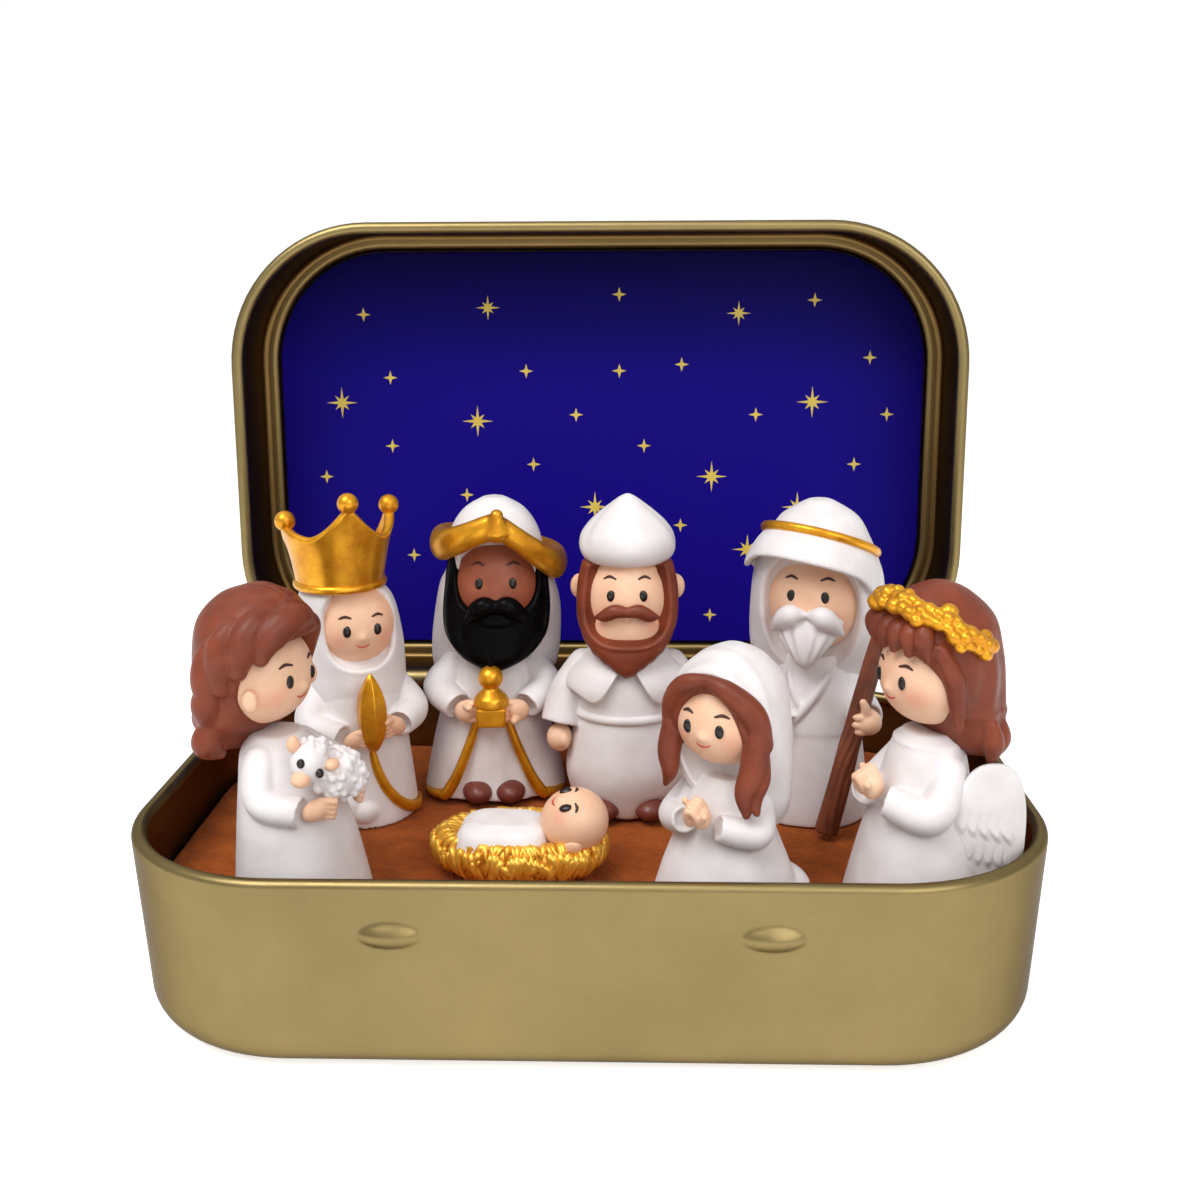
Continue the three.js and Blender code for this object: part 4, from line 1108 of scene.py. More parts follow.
# %% Shepherd's hair
levels = [[18.8, 2.6, 1.6, 0, 8.4], [19.6, 4.8, 3.0, 0, 8.2], [22, 6.4, 4.2, 0, 7.6],
          [26, 6.8, 5.6, 0, 6.2], [30.5, 7.1, 6.8, 0, 4.9], [34.6, 6.4, 6.4, 0, 4.4],
          [37.3, 3.9, 4.1, 0, 4.2], [38.4, 1.3, 1.3, 0, 4.2]]


def waves(a, z):
    """Strands that wind a little, and broad waves across the hair that falls below the ears."""
    return 0.1 * np.sin(8 * a + 0.3 * z) + 0.35 * np.sin(1.15 * z) * (z < 27)


hair = covering(levels, (0, 5.6, 29), ([14, 9.0, 8.0], [0, -4.4, 26]),
                hem=lambda far: 0.3 * np.exp(-(far / 0.1) ** 2), carve=waves)
locks = [limb([[2.6, -0.9, 33.4], [0.2, -1.3, 34.9], [-2.4, -1.2, 34.9], [-4.4, -0.2, 33.2],
               [-5.1, 0.2, 31.2]], (0.9, 1.6, 1.9, 1.8, 0.9), rows=60),
         limb([[-1.9, 0.2, 36.0], [-4.5, 1.0, 35.0], [-6.0, 1.9, 32.8], [-6.5, 2.4, 29.9]],
              (0.8, 1.6, 1.9, 1.1), rows=50),
         limb([[-4.0, 2.6, 35.6], [-6.1, 3.8, 33.8], [-6.9, 4.5, 31.0], [-6.9, 4.6, 27.9]],
              (0.8, 1.6, 1.8, 1.1), rows=50),
         limb([[-5.6, 5.0, 33.8], [-6.8, 6.2, 31.2], [-7.0, 6.6, 28.2], [-6.6, 6.4, 25.4]],
              (0.8, 1.4, 1.6, 1.0), rows=50),
         limb([[1.4, -0.8, 34.4], [4.2, 0.0, 33.0], [5.8, 1.4, 30.4], [6.2, 2.0, 27.6]],
              (1.0, 1.4, 1.2, 0.6), rows=40)]
falls = limbs([[6.4, 6.2, 28.4], [6.6, 6.9, 25.6], [5.9, 7.2, 23], [6.2, 7.7, 20.6], [4.4, 7.4, 19.0]],
              (1.3, 1.8, 1.4, 1.7, 0.8), rows=50)
shepherd("hair", joined(hair, *locks, *falls), CHESTNUT, melt=(0.18, 3))
print("locks:", len(locks + falls))

# %% Shepherd's hands
hands = joined(hand((-4.3, -5.2, 13.7), (0.6, -0.8, 0.2), (-0.2, -0.3, 1), 1.05),
               hand((1.3, -7.4, 14.6), (-0.9, -0.5, 0.2), (0.1, 0.3, -1)))
shepherd("hands", hands, SKIN, melt=FINE_MELT)
print("both hands have", len(hands[0]), "points before they melt")

# %% Lamb
LAMB_HEAD, LAMB_MIDDLE = np.array([-4.7, -5.1, 19.7]), np.array([-1.6, -6.8, 17.4])
LAMB_SIZE = np.array([3.3, 2.5, 2.7])
LAMB_TURN = math.radians(SHEPHERD_TURN - 15)


def wool(size, place, count, lump, seed, axes=np.eye(3)):
    """Lumps scattered over an egg in random directions, each with a random size."""
    draw = np.random.default_rng(seed)
    spot = unit(draw.normal(size=(count, 3))) * size @ axes
    sizes = lump * draw.uniform(0.6, 1.3, (count, 1)) * np.ones(3)
    return eggs(sizes, spot + np.asarray(place), rows=7, sides=9)


def on_lamb(aside, up, out):
    """A place from the middle of the lamb's head: to the side, up, and out towards the front of the tin."""
    right = np.array([math.cos(LAMB_TURN), -math.sin(LAMB_TURN), 0])
    ahead = np.array([-math.sin(LAMB_TURN), -math.cos(LAMB_TURN), 0])
    return LAMB_HEAD + aside * right + up * np.array([0, 0, 1.0]) + out * ahead


along = unit(LAMB_HEAD - LAMB_MIDDLE)
beside = unit(np.cross([0, 0, 1.0], along))
axes = np.stack([along, beside, np.cross(along, beside)])
trunk = eggs(LAMB_SIZE, LAMB_MIDDLE, axes[None], rows=30, sides=40)
coat = wool(LAMB_SIZE, LAMB_MIDDLE, 110, 0.52, seed=4, axes=axes)
tuft = wool([1.9, 1.9, 1.8], on_lamb(0.7, 0.9, -0.5), 40, 0.45, seed=9)
shepherd("lamb", joined(trunk, coat, egg([2.3, 2.2, 2.3], LAMB_HEAD), tuft), WHITE, melt=(0.14, 5))
ears = joined(egg([0.8, 0.7, 1.0], on_lamb(-1.7, 2.3, 0.2)), egg([1.0, 0.8, 0.7], on_lamb(2.4, -0.2, 0.9)))
muzzle = egg([1.15, 1.1, 1.0], on_lamb(-1.1, -1.4, 1.6))
shepherd("lamb_peach", joined(ears, muzzle), SKIN, own=False)
eyes = np.stack([on_lamb(-1.0, 0.6, 2.0), on_lamb(1.0, -0.7, 2.05)])
shepherd("lamb_eyes", eggs([[0.5, 0.45, 0.55]] * 2, eyes, rows=14, sides=16), EYE, own=False)
tell("shepherd")

# %% [markdown]
# ## Crowned king
# The crown is one sheet whose upper edge swings between points and scoops, with a ball on each point. It
# could be cut from a cylinder, but as a grid whose height follows the angle it keeps an even wall and a
# round lip. A gold border runs from the bud in the hands down the robe and round its hem.

# %% Rolls
def roll(radii, section, rise=None, swell=None, sides=120, facets=20):
    """Roll round an egg-shaped line: at the angle a and the angle b round its section the point is
    ((rx + t k cos b) cos a, (ry + t k cos b) sin a, rise(a) + h k sin b), with k = swell(a)."""
    a = angles(sides)[None, :]
    b = angles(facets)[:, None]
    k = swell(a) if swell else 1
    out = section[0] * k * np.cos(b)
    z = (rise(a) if rise else 0) + section[1] * k * np.sin(b)
    x, y = (radii[0] + out) * np.cos(a), (radii[1] + out) * np.sin(a)
    return skin(np.stack(np.broadcast_arrays(x, y, z), axis=-1), looped=True)


print("a roll has", len(roll((9, 9), (1, 1))[0]), "points by default")

# %% Crown
CROWN_EDGE = np.array([[-180, 8.4], [-135, 7.0], [-90, 11.4], [-45, 6.8],
                       [0, 9.6], [45, 4.0], [135, 4.0], [180, 8.4]])
CROWN_TIPS = np.radians([-180, -90, 0])
CROWN_BASE, CROWN_FLARE, CROWN_WALL, CROWN_LIP = 5.4, 0.165, 0.5, 0.65
TIP_BALL, TIP_LIFT = 1.35, 0.7


def crown_height(a):
    """Height of the crown's edge at the angle a. From a low row of the table to the next high one it rises by
    the power 1.7 of the share of the way, which leaves the points slender."""
    degrees = np.mod(np.degrees(a) + 180, 360) - 180
    step = np.interp(degrees, CROWN_EDGE[:, 0], np.arange(len(CROWN_EDGE)))
    row = np.minimum(step.astype(int), len(CROWN_EDGE) - 2)
    here, ahead = CROWN_EDGE[row, 1], CROWN_EDGE[row + 1, 1]
    share = np.where(ahead > here, step - row, 1 - step + row)
    return np.minimum(here, ahead) + np.abs(ahead - here) * share ** 1.7


def crown():
    """At the angle a and the share t of the edge's height h(a) the wall is at the radius base + flare t h,
    plus or minus half the wall. The lip between the outer and the inner side is a half circle."""
    a = angles(240)[None, :]
    h = crown_height(a)
    t = np.linspace(0, 1, 40)[:, None]
    b = np.linspace(0, np.pi, 9)[1:-1, None]
    thick = CROWN_WALL / 2 * (1 + 1.6 * t ** 4)
    z = np.concatenate([t * h, h + CROWN_LIP * np.sin(b), (t * h)[::-1]])
    out = np.concatenate([thick, CROWN_LIP * np.cos(b), -thick[::-1]])
    radius = CROWN_BASE + CROWN_FLARE * z + out
    wall = skin(np.stack([radius * np.cos(a), radius * np.sin(a), z], axis=-1), looped=True)
    top = crown_height(CROWN_TIPS)
    far = CROWN_BASE + CROWN_FLARE * top
    centres = np.stack([far * np.cos(CROWN_TIPS), far * np.sin(CROWN_TIPS), top + TIP_LIFT], axis=-1)
    balls = eggs(np.full((len(CROWN_TIPS), 3), TIP_BALL), centres, rows=24, sides=32)
    band = moved(roll((CROWN_BASE + 0.3, CROWN_BASE + 0.3), (0.5, 0.55)), (0, 0, 0.45))
    return joined(wall, balls, band)


print("crown with", len(CROWN_TIPS), "points")

# %% Borders on a robe
def on_form(levels, a, z, lift=0.0):
    """Points on a form's flank at the angles a and the heights z, lifted outwards."""
    fine = smooth_rows(full_levels(levels), 200)
    rx, ry, cx, cy = (np.interp(z, fine[:, 0], fine[:, k]) for k in range(1, 5))
    x, y = cx + (rx + lift) * np.cos(a), cy + (ry + lift) * np.sin(a)
    return np.stack([x, y, np.asarray(z, float)], axis=-1)


def trim(levels, degrees, z, radii, lift=0.1):
    """Raised band on a form: a limb through points given by their angles and heights on the flank."""
    return limb(on_form(levels, np.radians(degrees), np.asarray(z, float), lift), radii, rows=60, sides=18)


print("on a form of the radius 3, straight to the left:", on_form([[0, 3], [9, 3]], 0.0, 5.0).round(2))

# %% Crowned king's robe, head and hood
crowned_king = stand("crowned_king", -32.2, 7.5, 24)
gown = [[0, 7.3, 6.9], [0.5, 7.7, 7.3], [8, 7, 6.6], [13, 6.5, 6.1], [17.5, 6.3, 5.8], [19.4, 6.1, 5.6],
        [20.6, 5.2, 4.8]]
arms = [[[5, -0.4, 18], [6.9, -2.8, 14.8], [4.4, -6.0, 13.8]],
        [[-5, -0.4, 18], [-6.9, -2.8, 14.2], [-3.8, -6.2, 12.8]]]
knee = [egg([2.7, 2.3, 2.7], [-3.6, -5.4, 2.7]), egg([2.2, 1.8, 1.8], [-1.0, -6.2, 2.0])]
shape = robe(gown, arms, (2.1, 2.2, 1.9), folds(4, 0.02, 14, 1.0), knee)
crowned_king("robe", shape, WHITE, melt=(0.24, 5))
border_angles, border_heights = [-88, -84, -76, -64, -48, -28, -4], [11.2, 8.2, 5.4, 3.2, 1.6, 0.9, 0.8]
border = trim(gown, border_angles, border_heights, (0.4, 0.62, 0.72, 0.78, 0.8, 0.75, 0.6))
crowned_king("border", border, GOLD, own=False)
size, place = [5.7, 5.4, 5.9], [-0.1, -0.7, 27.2]
head(crowned_king, size, place)
face(crowned_king, size, place)
levels = [[14.6, 5.6, 5.1, 0, 0.4], [16.2, 6.4, 5.9, 0, 0.4], [18.8, 6.8, 6.25, 0, 0.45],
          [21.5, 6.85, 6.3, 0, 0.5], [25, 6.8, 6.5, -0.2, 0.4], [29.5, 6.4, 6.3, -0.7, 0.2],
          [31.6, 5.7, 5.7, -1.2, 0], [32.3, 4.4, 4.4, -1.3, 0]]
hood = covering(levels, (-0.2, 0.4, 25.5), ([5.6, 5.4, 6.6], [-0.1, -6.8, 27.6]), lip=0.9, square=2.6)
crowned_king("hood", hood, WHITE, melt=(0.2, 5))
crowned_king("crown", moved(crown(), (-1.5, 0, 32.2)), GOLD)
tell("crowned_king")

# %% Crowned king's hands and gift
def faceted(levels, facets, turn=0.0):
    """Form with flat sides: k = cos(half) / cos(distance from the middle of a side), as for a polygon."""
    step = 2 * np.pi / facets

    def flat(a, z):
        return np.cos(step / 2) / np.cos(np.mod(a + turn, step) - step / 2) - 1

    return form(levels, rows=90, sides=facets * 16, fold=flat)


hands = joined(hand((-2.4, -7.6, 12.8), (0.9, -0.5, 0.3), (0.1, -0.4, 1)),
               hand((3.4, -7.4, 14.0), (-0.9, -0.5, 0.2), (0.1, 0.4, -1), 1.1))
crowned_king("hands", hands, SKIN, melt=FINE_MELT)
bud = [[11.3, 0.3], [11.5, 0.7], [13, 1.5], [15.2, 1.95], [17.6, 2.0], [19.6, 1.5], [21.2, 0.7], [22, 0.1]]
crowned_king("gift", moved(faceted(bud, 6, turn=0.5), (0, -8.6, 0)), GOLD)
tell("crowned_king")

# %% [markdown]
# ## Bearded king
# The coat is open in front: between its two gold borders the robe is set back, and it hangs in folds there. A
# second form inside the coat would show its own edge, so one form does both, with a fold that depends on the
# angle. A gold roll holds the scarf and rises to a peak over the forehead.

# %% Bearded king's coat and shoes
bearded_king = stand("bearded_king", -14.4, 15.6, 4)
coat = [[0.6, 9.6, 7.4], [1.1, 10, 7.8], [8, 8.6, 6.9], [14, 7, 5.8], [19.5, 5.2, 4.6], [22.8, 3, 3]]


def off_front(a):
    """Angle from straight ahead to either side: 0 in front and pi behind."""
    return np.abs(np.mod(a + np.pi / 2 + np.pi, 2 * np.pi) - np.pi)


def opening(z):
    """Half the angle between the coat's borders, in degrees: wide at the hem, narrow at the hands."""
    return np.interp(z, [0, 4, 11, 15], [44, 33, 18, 12])


def drape(a, z):
    """Sets the robe back between the borders, and folds it there."""
    inside = 1 / (1 + np.exp((off_front(a) - np.radians(opening(z))) / 0.03))
    return inside * (-0.09 + 0.02 * np.sin(16 * a)) * (z < 16)


arms = both_sides([[5, -0.2, 19], [7.4, -2.8, 16.2], [4.8, -6.2, 14.5]])
bearded_king("robe", robe(coat, arms, (2.1, 2.3, 2.0), drape), WHITE, melt=(0.24, 4))
z = np.array([13.2, 9, 4.5, 2, 1.2])
aside = opening(z) + [0, 0, 0, 1, 3]
borders = [trim(coat, -90 + side * aside, z, (0.5, 0.65, 0.75, 0.85, 0.8)) for side in SIDES]
hems = [trim(coat, -90 + side * np.array([47, 58, 72]), [1.2, 1.0, 1.0], (0.75, 0.6, 0.3)) for side in SIDES]
bearded_king("borders", joined(*borders, *hems), GOLD, own=False)
shoes = [egg(*shoe) for shoe in twins([2.2, 3.2, 1.8], [2.25, -5.6, 1.8])]
bearded_king("shoes", joined(*shoes, form([[0.05, 7.6, 5.8], [0.8, 8.2, 6.2]], rows=6)), SHOE)
tell("bearded_king")

# %% Bearded king's head, scarf and band
size, place = [6.4, 6.1, 8.2], [0.9, -0.5, 30]
head(bearded_king, size, place, DARK_SKIN)
face(bearded_king, size, place, mouth=False, level=0.22)
levels = [[16.6, 5.6, 2.2, 0.2, 2.8], [17.4, 8.3, 3.6, 0.2, 2.8], [19, 8.9, 4.3, 0.3, 2.5],
          [22, 9.0, 4.9, 0.5, 2.0], [27, 8.7, 6.4, 0.9, 0.9], [30.5, 8.0, 6.6, 0.9, 0.5],
          [33, 6.8, 6.4, 0.8, 0.2], [37.6, 6.2, 6.1, 0.7, 0], [40.8, 4.3, 4.3, 0.7, 0],
          [42.6, 1.4, 1.4, 0.7, 0]]
scarf = covering(levels, (0.8, 1.2, 29), ([7.4, 7.4, 12.8], [0.8, -8.4, 26.2]), lip=1.2, square=3,
                 carve=lambda a, z: 0.18 * np.sin(11 * a) * np.clip((30 - z) / 8, 0, 1))
bearded_king("scarf", scarf, WHITE)


def peak(a):
    """Height of the roll at the angle a: in front a chevron of 5.7 (1 - |cos a|) with a rounded top, and all
    round it hangs lower on the left, by 1.45 cos a."""
    return 5.7 * (1 - np.sqrt(0.02 + 0.98 * np.cos(a) ** 2)) * (np.sin(a) < 0) - 1.45 * np.cos(a)


band = roll((7.95, 7.75), (1.5, 2.25), rise=peak, swell=lambda a: 0.84 + 0.2 * np.cos(a) ** 2, sides=200)
stem = limb([[0.1, -8.0, 4.6], [0.1, -8.4, 5.8], [0.1, -8.5, 6.4]], (1.8, 1.2, 0.9))
band = joined(band, stem, egg([0.9, 0.9, 0.9], [0.1, -8.5, 6.6]))
bearded_king("band", moved(band, (1.2, 0, 34.8)), GOLD, melt=(0.2, 4))
tell("bearded_king")

# %% Bearded king's beard, hands and urn
jaw = [[19.2, 0.8, 0.7, 0.4, -5.7], [20.0, 2.6, 1.9, 0.5, -5.5], [21.4, 4.9, 3.0, 0.6, -4.9],
       [24, 6.9, 3.8, 0.7, -3.7], [27, 7.4, 4.1, 0.8, -2.9], [30.5, 7.2, 3.6, 0.9, -2.2],
       [35.2, 6.5, 3.0, 0.9, -1.8], [36.0, 5.8, 2.6, 0.9, -1.8]]
beard = covering(jaw, (0.8, -2.4, 29.5), ([7.1, 6.6, 8.0], [1.0, -8.2, 34.8]), lip=0.8, square=3)
curls = both_sides([[0.4, -6.9, 28.6], [1.5, -7.0, 28.7], [2.6, -6.7, 28.0], [3.5, -6.3, 27.0]])
moustache = [limb(path + [0.8, 0, 0], (1.0, 1.35, 1.3, 0.8), rows=40) for path in curls]
chin = egg([4.2, 2.2, 2.6], [0.8, -5.2, 26.4])
bearded_king("beard", joined(beard, chin, *moustache), BLACK, melt=(0.18, 4))
for name, side in (("left", 1), ("right", -1)):
    palm = hand((side * 3.6, -7.8, 14.2), (-side * 0.8, -0.6, 0.1), (0, -side * 0.1, side * 1.0), 1.15)
    bearded_king(f"hand_{name}", palm, SKIN, melt=FINE_MELT)
box = faceted([[0, 2.5], [0.2, 2.75], [2.2, 2.8], [2.5, 2.6]], 4)
dome = form([[2.4, 2.0], [2.7, 2.4], [3.8, 2.2], [4.8, 1.2], [5.2, 1.0]], rows=50)
ball = egg([1.7, 1.7, 1.65], [0, 0, 6.5])
bearded_king("urn", moved(joined(tilted(box, "Z", 45), dome, ball), (0, -8.9, 12.8)), GOLD)
knob = limb([[0, -8.9, 20.7], [0, -8.9, 21.4], [0, -8.9, 22]], (0.42, 0.3, 0.24))
bearded_king("urn_knob", knob, BLACK, own=False)
tell("bearded_king")

# %% [markdown]
# ## Keeper
# The innkeeper's hat is an onion form with a few curved creases, which are folds in its radius. The
# collar is a cape whose edge drops to two lapels and rises to a notch between them. It could be draped
# as cloth, but on the moulded figure it is an even layer that follows the shoulders.

# %% Collars
def cape(levels, edge, thick, rows=24, sides=240):
    """Collar on a form's flank: at the angle a it runs from the top level down to the height edge(a), one
    thickness proud, turns round a half circle and runs back up on the flank."""
    a = np.broadcast_to(angles(sides)[None, :], (rows, sides))
    top = levels[-1][0]
    z = top + np.linspace(0, 1, rows)[:, None] * (edge(a) - top)
    b = np.linspace(0, np.pi, 9)[1:-1, None]
    rim = a[:len(b)]
    lip = on_form(levels, rim, edge(rim) - thick / 2 * np.sin(b), thick / 2 * (1 + np.cos(b)))
    outside, inside = on_form(levels, a, z, thick), on_form(levels, a, z, 0.0)
    return skin(np.concatenate([outside, lip, inside[::-1]]), looped=True)


print("a collar has", len(cape([[0, 3], [9, 3]], lambda a: 5 + 0 * a, 0.5)[0]), "points by default")

# %% Keeper's tunic, collar, shoes and hands
keeper = stand("keeper", 4.7, 9.4, 0)
tunic = [[0.1, 6.4, 5.6], [0.8, 7.2, 6.4], [5.5, 8.5, 7.5], [10, 7.9, 7.0], [14.3, 7.0, 6.2],
         [18.7, 7.0, 5.6], [22.8, 4.2, 3.8]]
shoulders = [[15.5, 7.3, 6.2], [17, 7.9, 6.4], [18.7, 8.1, 6.3], [20.6, 7.0, 5.6], [22.9, 4.4, 4.0]]


def arches(a, z):
    """Draws the hem in over the two shoes, and leaves it full between them and behind."""
    return -0.3 * np.exp(-((off_front(a) - 0.52) / 0.2) ** 2) * np.clip(1 - z / 3.2, 0, 1) ** 0.7


def lapels(a):
    """Height of the collar's edge: level behind, two points in front, and a notch between them."""
    aside = off_front(a)
    return 18.3 - 1.3 * np.exp(-((aside - 0.55) / 0.3) ** 2) + 4.6 * np.exp(-(aside / 0.27) ** 2)


arms = both_sides([[6.0, 0.2, 20.4], [8.2, -0.5, 16.8], [9.1, -1.5, 12.8]])
keeper("tunic", robe(tunic, arms, (2.2, 2.45, 2.75), arches), WHITE, melt=(0.24, 4))
keeper("belt", moved(roll((7.05, 6.25), (0.5, 0.6), sides=200), (0, 0, 14.3)), WHITE, own=False)
keeper("collar", cape(shoulders, lapels, 0.75), WHITE, own=False)
shoes = [egg(*shoe) for shoe in twins([2.2, 3.0, 1.65], [3.1, -5.2, 1.7])]
keeper("shoes", joined(*shoes, form([[0.05, 6.2, 5.2], [0.8, 6.6, 5.6]], rows=6)), SHOE)
for name, side in (("left", 1), ("right", -1)):
    palm = egg([1.75, 1.75, 2.0], [side * 9.3, -1.9, 10.6])
    thumb = egg([0.7, 0.8, 1.1], [side * 8.6, -3.2, 10.6])
    keeper(f"hand_{name}", joined(palm, thumb), SKIN, melt=FINE_MELT)
tell("keeper")

# %% Keeper's head, hat and beard
size, place = [6.0, 5.9, 7.2], [0, -0.2, 29.8]
chin = ([4.4, 2.2, 3.4], [0, -4.1, 26.6])
head(keeper, size, place, lumps=[*twins([1.25, 1.0, 1.7], [6.45, 0.2, 31.4]), chin])
face(keeper, size, place, mouth=False, level=0.24)


def creases(a, z):
    """Soft creases that wind a little as they run up to the tip."""
    return -0.045 * np.abs(np.cos(2.5 * a + 0.12 * (z - 36))) ** 10 * np.clip((z - 36.5) / 3, 0, 1)


onion = [[35.0, 4.2], [35.2, 5.3], [36.0, 6.1], [37.3, 6.45], [38.8, 6.15], [40.3, 5.1], [41.7, 3.6],
         [42.8, 2.2], [43.6, 1.1], [44.0, 0.3]]
keeper("turban", form(onion, rows=110, sides=200, fold=creases), WHITE)
jaw = [[20.4, 0.5, 0.4, 0, -6.0], [21.4, 1.9, 1.4, 0, -5.7], [23.2, 4.3, 2.7, 0, -4.7],
       [25.2, 5.8, 3.6, 0, -3.7], [28, 6.7, 4.4, 0, -2.7], [32, 6.7, 4.2, 0, -1.9],
       [35.4, 6.0, 3.5, 0, -1.6]]
beard = covering(jaw, (0, -2.2, 30), ([6.7, 6.4, 7.6], [0, -8.0, 31.9]), lip=0.8, square=3.0,
                 carve=lambda a, z: 0.06 * np.sin(30 * a + 0.3 * z) * np.clip((29 - z) / 4, 0, 1))
keeper("beard", beard, CHESTNUT)
curls = limbs([[0.3, -6.7, 29.5], [1.6, -6.7, 29.6], [3.0, -6.3, 28.9], [4.1, -5.7, 28.6]],
              (0.75, 0.95, 0.8, 0.25), rows=50)
keeper("moustache", joined(*curls), CHESTNUT, melt=(0.15, 3))
tell("keeper")

# %% [markdown]
# ## Mother
# The mother kneels, so the robe is low and flows back. The veil has a doubled hem round the face. Cloth
# with a sewn edge would need a simulation, so the hem is two low ridges along the covering's rim. The
# hair is parted in the middle, with locks on each side that hang out of the veil.

# %% Mother's robe, hands and head
def praying_hands(place, scale=1.0):
    """Two hands laid together, pointing up and a little forward."""
    x, y, z = place
    along = (0, -0.45, 0.9)
    return joined(*(hand((x + side * 0.75 * scale, y, z), along, (0, side * 0.9, side * 0.45), scale)
                    for side in SIDES))


mother = stand("mother", 16.6, -20.2, -32)
gown = [[0, 8.5, 8.3], [0.5, 8.9, 8.7], [5, 7.7, 7.4], [10, 5.8, 5.4], [14, 4.6, 4.2], [16.4, 2.8, 2.6]]
arms = both_sides([[4.0, -0.4, 14.0], [5.4, -2.9, 11.2], [2.2, -6.0, 12.2]])
train = [egg([5.6, 4.0, 2.6], [3.2, 4.0, 2.2])]
shape = robe(gown, arms, (1.8, 1.9, 1.6), folds(5, 0.03, 11, 0.4), train, hollow=0.15)
mother("robe", shape, WHITE, melt=(0.24, 5))
mother("hands", praying_hands((0, -7.1, 13.4), 0.92), SKIN, melt=(0.13, 3))
size, place = [5.7, 5.4, 5.5], [0, -0.9, 23.6]
head(mother, size, place)
face(mother, size, place)
tell("mother")

# %% Mother's hair and veil
levels = [[19.6, 4.8, 4.0, 0, 1.2], [20.8, 6.0, 5.3, 0, 0.1], [23.6, 6.35, 6.1, 0, -0.5],
          [27, 5.4, 5.3, 0, -0.4], [29.6, 2.2, 2.4, 0, -0.4]]
cap = covering(levels, (0, -0.4, 23.6), ([5.3, 5.6, 8.0], [0, -7, 20.4]), lip=0.9)
parting = limbs([[0.4, -5.4, 28.9], [2.8, -5.2, 27.9], [4.9, -3.6, 25.2], [5.6, -2.8, 21.8]],
                (0.8, 1.3, 1.6, 1.4), rows=50)
temples = [egg(*temple) for temple in twins([1.2, 1.5, 2.0], [5.45, -3.4, 22.4])]
locks = [limb([[-5.2, -3.0, 23.4], [-5.5, -4.0, 19.6], [-5.2, -4.4, 17.0], [-5.6, -4.6, 15.4]],
              (1.4, 1.4, 1.0, 0.4), rows=50),
         limb([[5.2, -3.0, 23.4], [5.4, -4.1, 19.2], [4.9, -4.9, 16.4], [5.3, -5.4, 14.2]],
              (1.4, 1.6, 1.3, 0.5), rows=50),
         limb([[5.5, -2.6, 21.4], [6.1, -3.6, 18.3], [5.8, -4.3, 16.0], [6.3, -4.8, 14.4]],
              (0.9, 1.1, 0.9, 0.4), rows=50)]
mother("hair", joined(cap, *parting, *temples, *locks), CHESTNUT, melt=(0.18, 3))


def double_hem(far):
    """Two ridges along the rim, where far is the share of the way from the rim to the back of the head."""
    return 0.35 * np.exp(-((far - 0.02) / 0.03) ** 2) + 0.22 * np.exp(-((far - 0.13) / 0.03) ** 2)


levels = [[9.2, 3.2, 1.8, 0, 3.8], [10, 5.2, 3.2, 0, 3.6], [13, 6.6, 4.6, 0, 2.8], [18, 7.1, 5.9, 0, 1.5],
          [23, 7.0, 6.8, 0, 0.5], [27.5, 6.2, 6.4, 0, 0.4], [30.4, 3.9, 4.2, 0, 0.5],
          [31.8, 1.2, 1.2, 0, 0.7]]
veil = covering(levels, (0, 1.8, 20.5), ([6.3, 7.0, 12.5], [0, -8.6, 19.0]), lip=0.6, square=2.2,
                hem=double_hem, carve=lambda a, z: 0.25 * np.sin(9 * a) * np.clip((21 - z) / 8, 0, 1))
mother("veil", veil, WHITE)
tell("mother")

# %% [markdown]
# ## Father
# The scarf's front edge is folded up under a thin tilted ring. The fold is a cape round the head, tilted with
# the ring and melted into the scarf. The wooden staff gets its grain from shallow grooves along it, worked
# into the tube's radius, because a bump alone would leave its outline smooth.

# %% Father's robe, hand and staff
father = stand("father", 30.0, 9.0, -18)
gown = [[0, 7.6, 7.1], [0.5, 8, 7.5], [7, 7.3, 6.8], [13, 6.5, 6], [18.5, 5.6, 5], [22.6, 3.4, 3.2]]


def girdle(a, z):
    """A shallow step where the coat is tied. The upper part is fuller than the skirt, which has folds."""
    return 0.025 / (1 + np.exp(-(z - 12.4) / 0.12)) + 0.018 * np.clip(1 - z / 11, 0, 1) * np.sin(6 * a + 0.8)


def staff(path, first, last):
    """Staff with grain: at the angle a and the run t the radius is r (1 + 0.06 sin(9 a + 4 sin 6t))."""
    tangent = unit(np.gradient(path, axis=0))
    side = unit(np.cross(tangent, [0, 1.0, 0]))
    up = np.cross(tangent, side)
    t, a = np.linspace(0, 1, len(path))[:, None], angles(60)[None, :]
    end = np.sqrt(np.clip(1 - (2 * np.abs(t - 0.5)) ** 60, 0.02, 1))
    radius = (first + t * (last - first)) * end * (1 + 0.06 * np.sin(9 * a + 4 * np.sin(6 * t)))
    spokes = np.cos(a)[..., None] * side[:, None] + np.sin(a)[..., None] * up[:, None]
    return skin(path[:, None] + radius[..., None] * spokes)


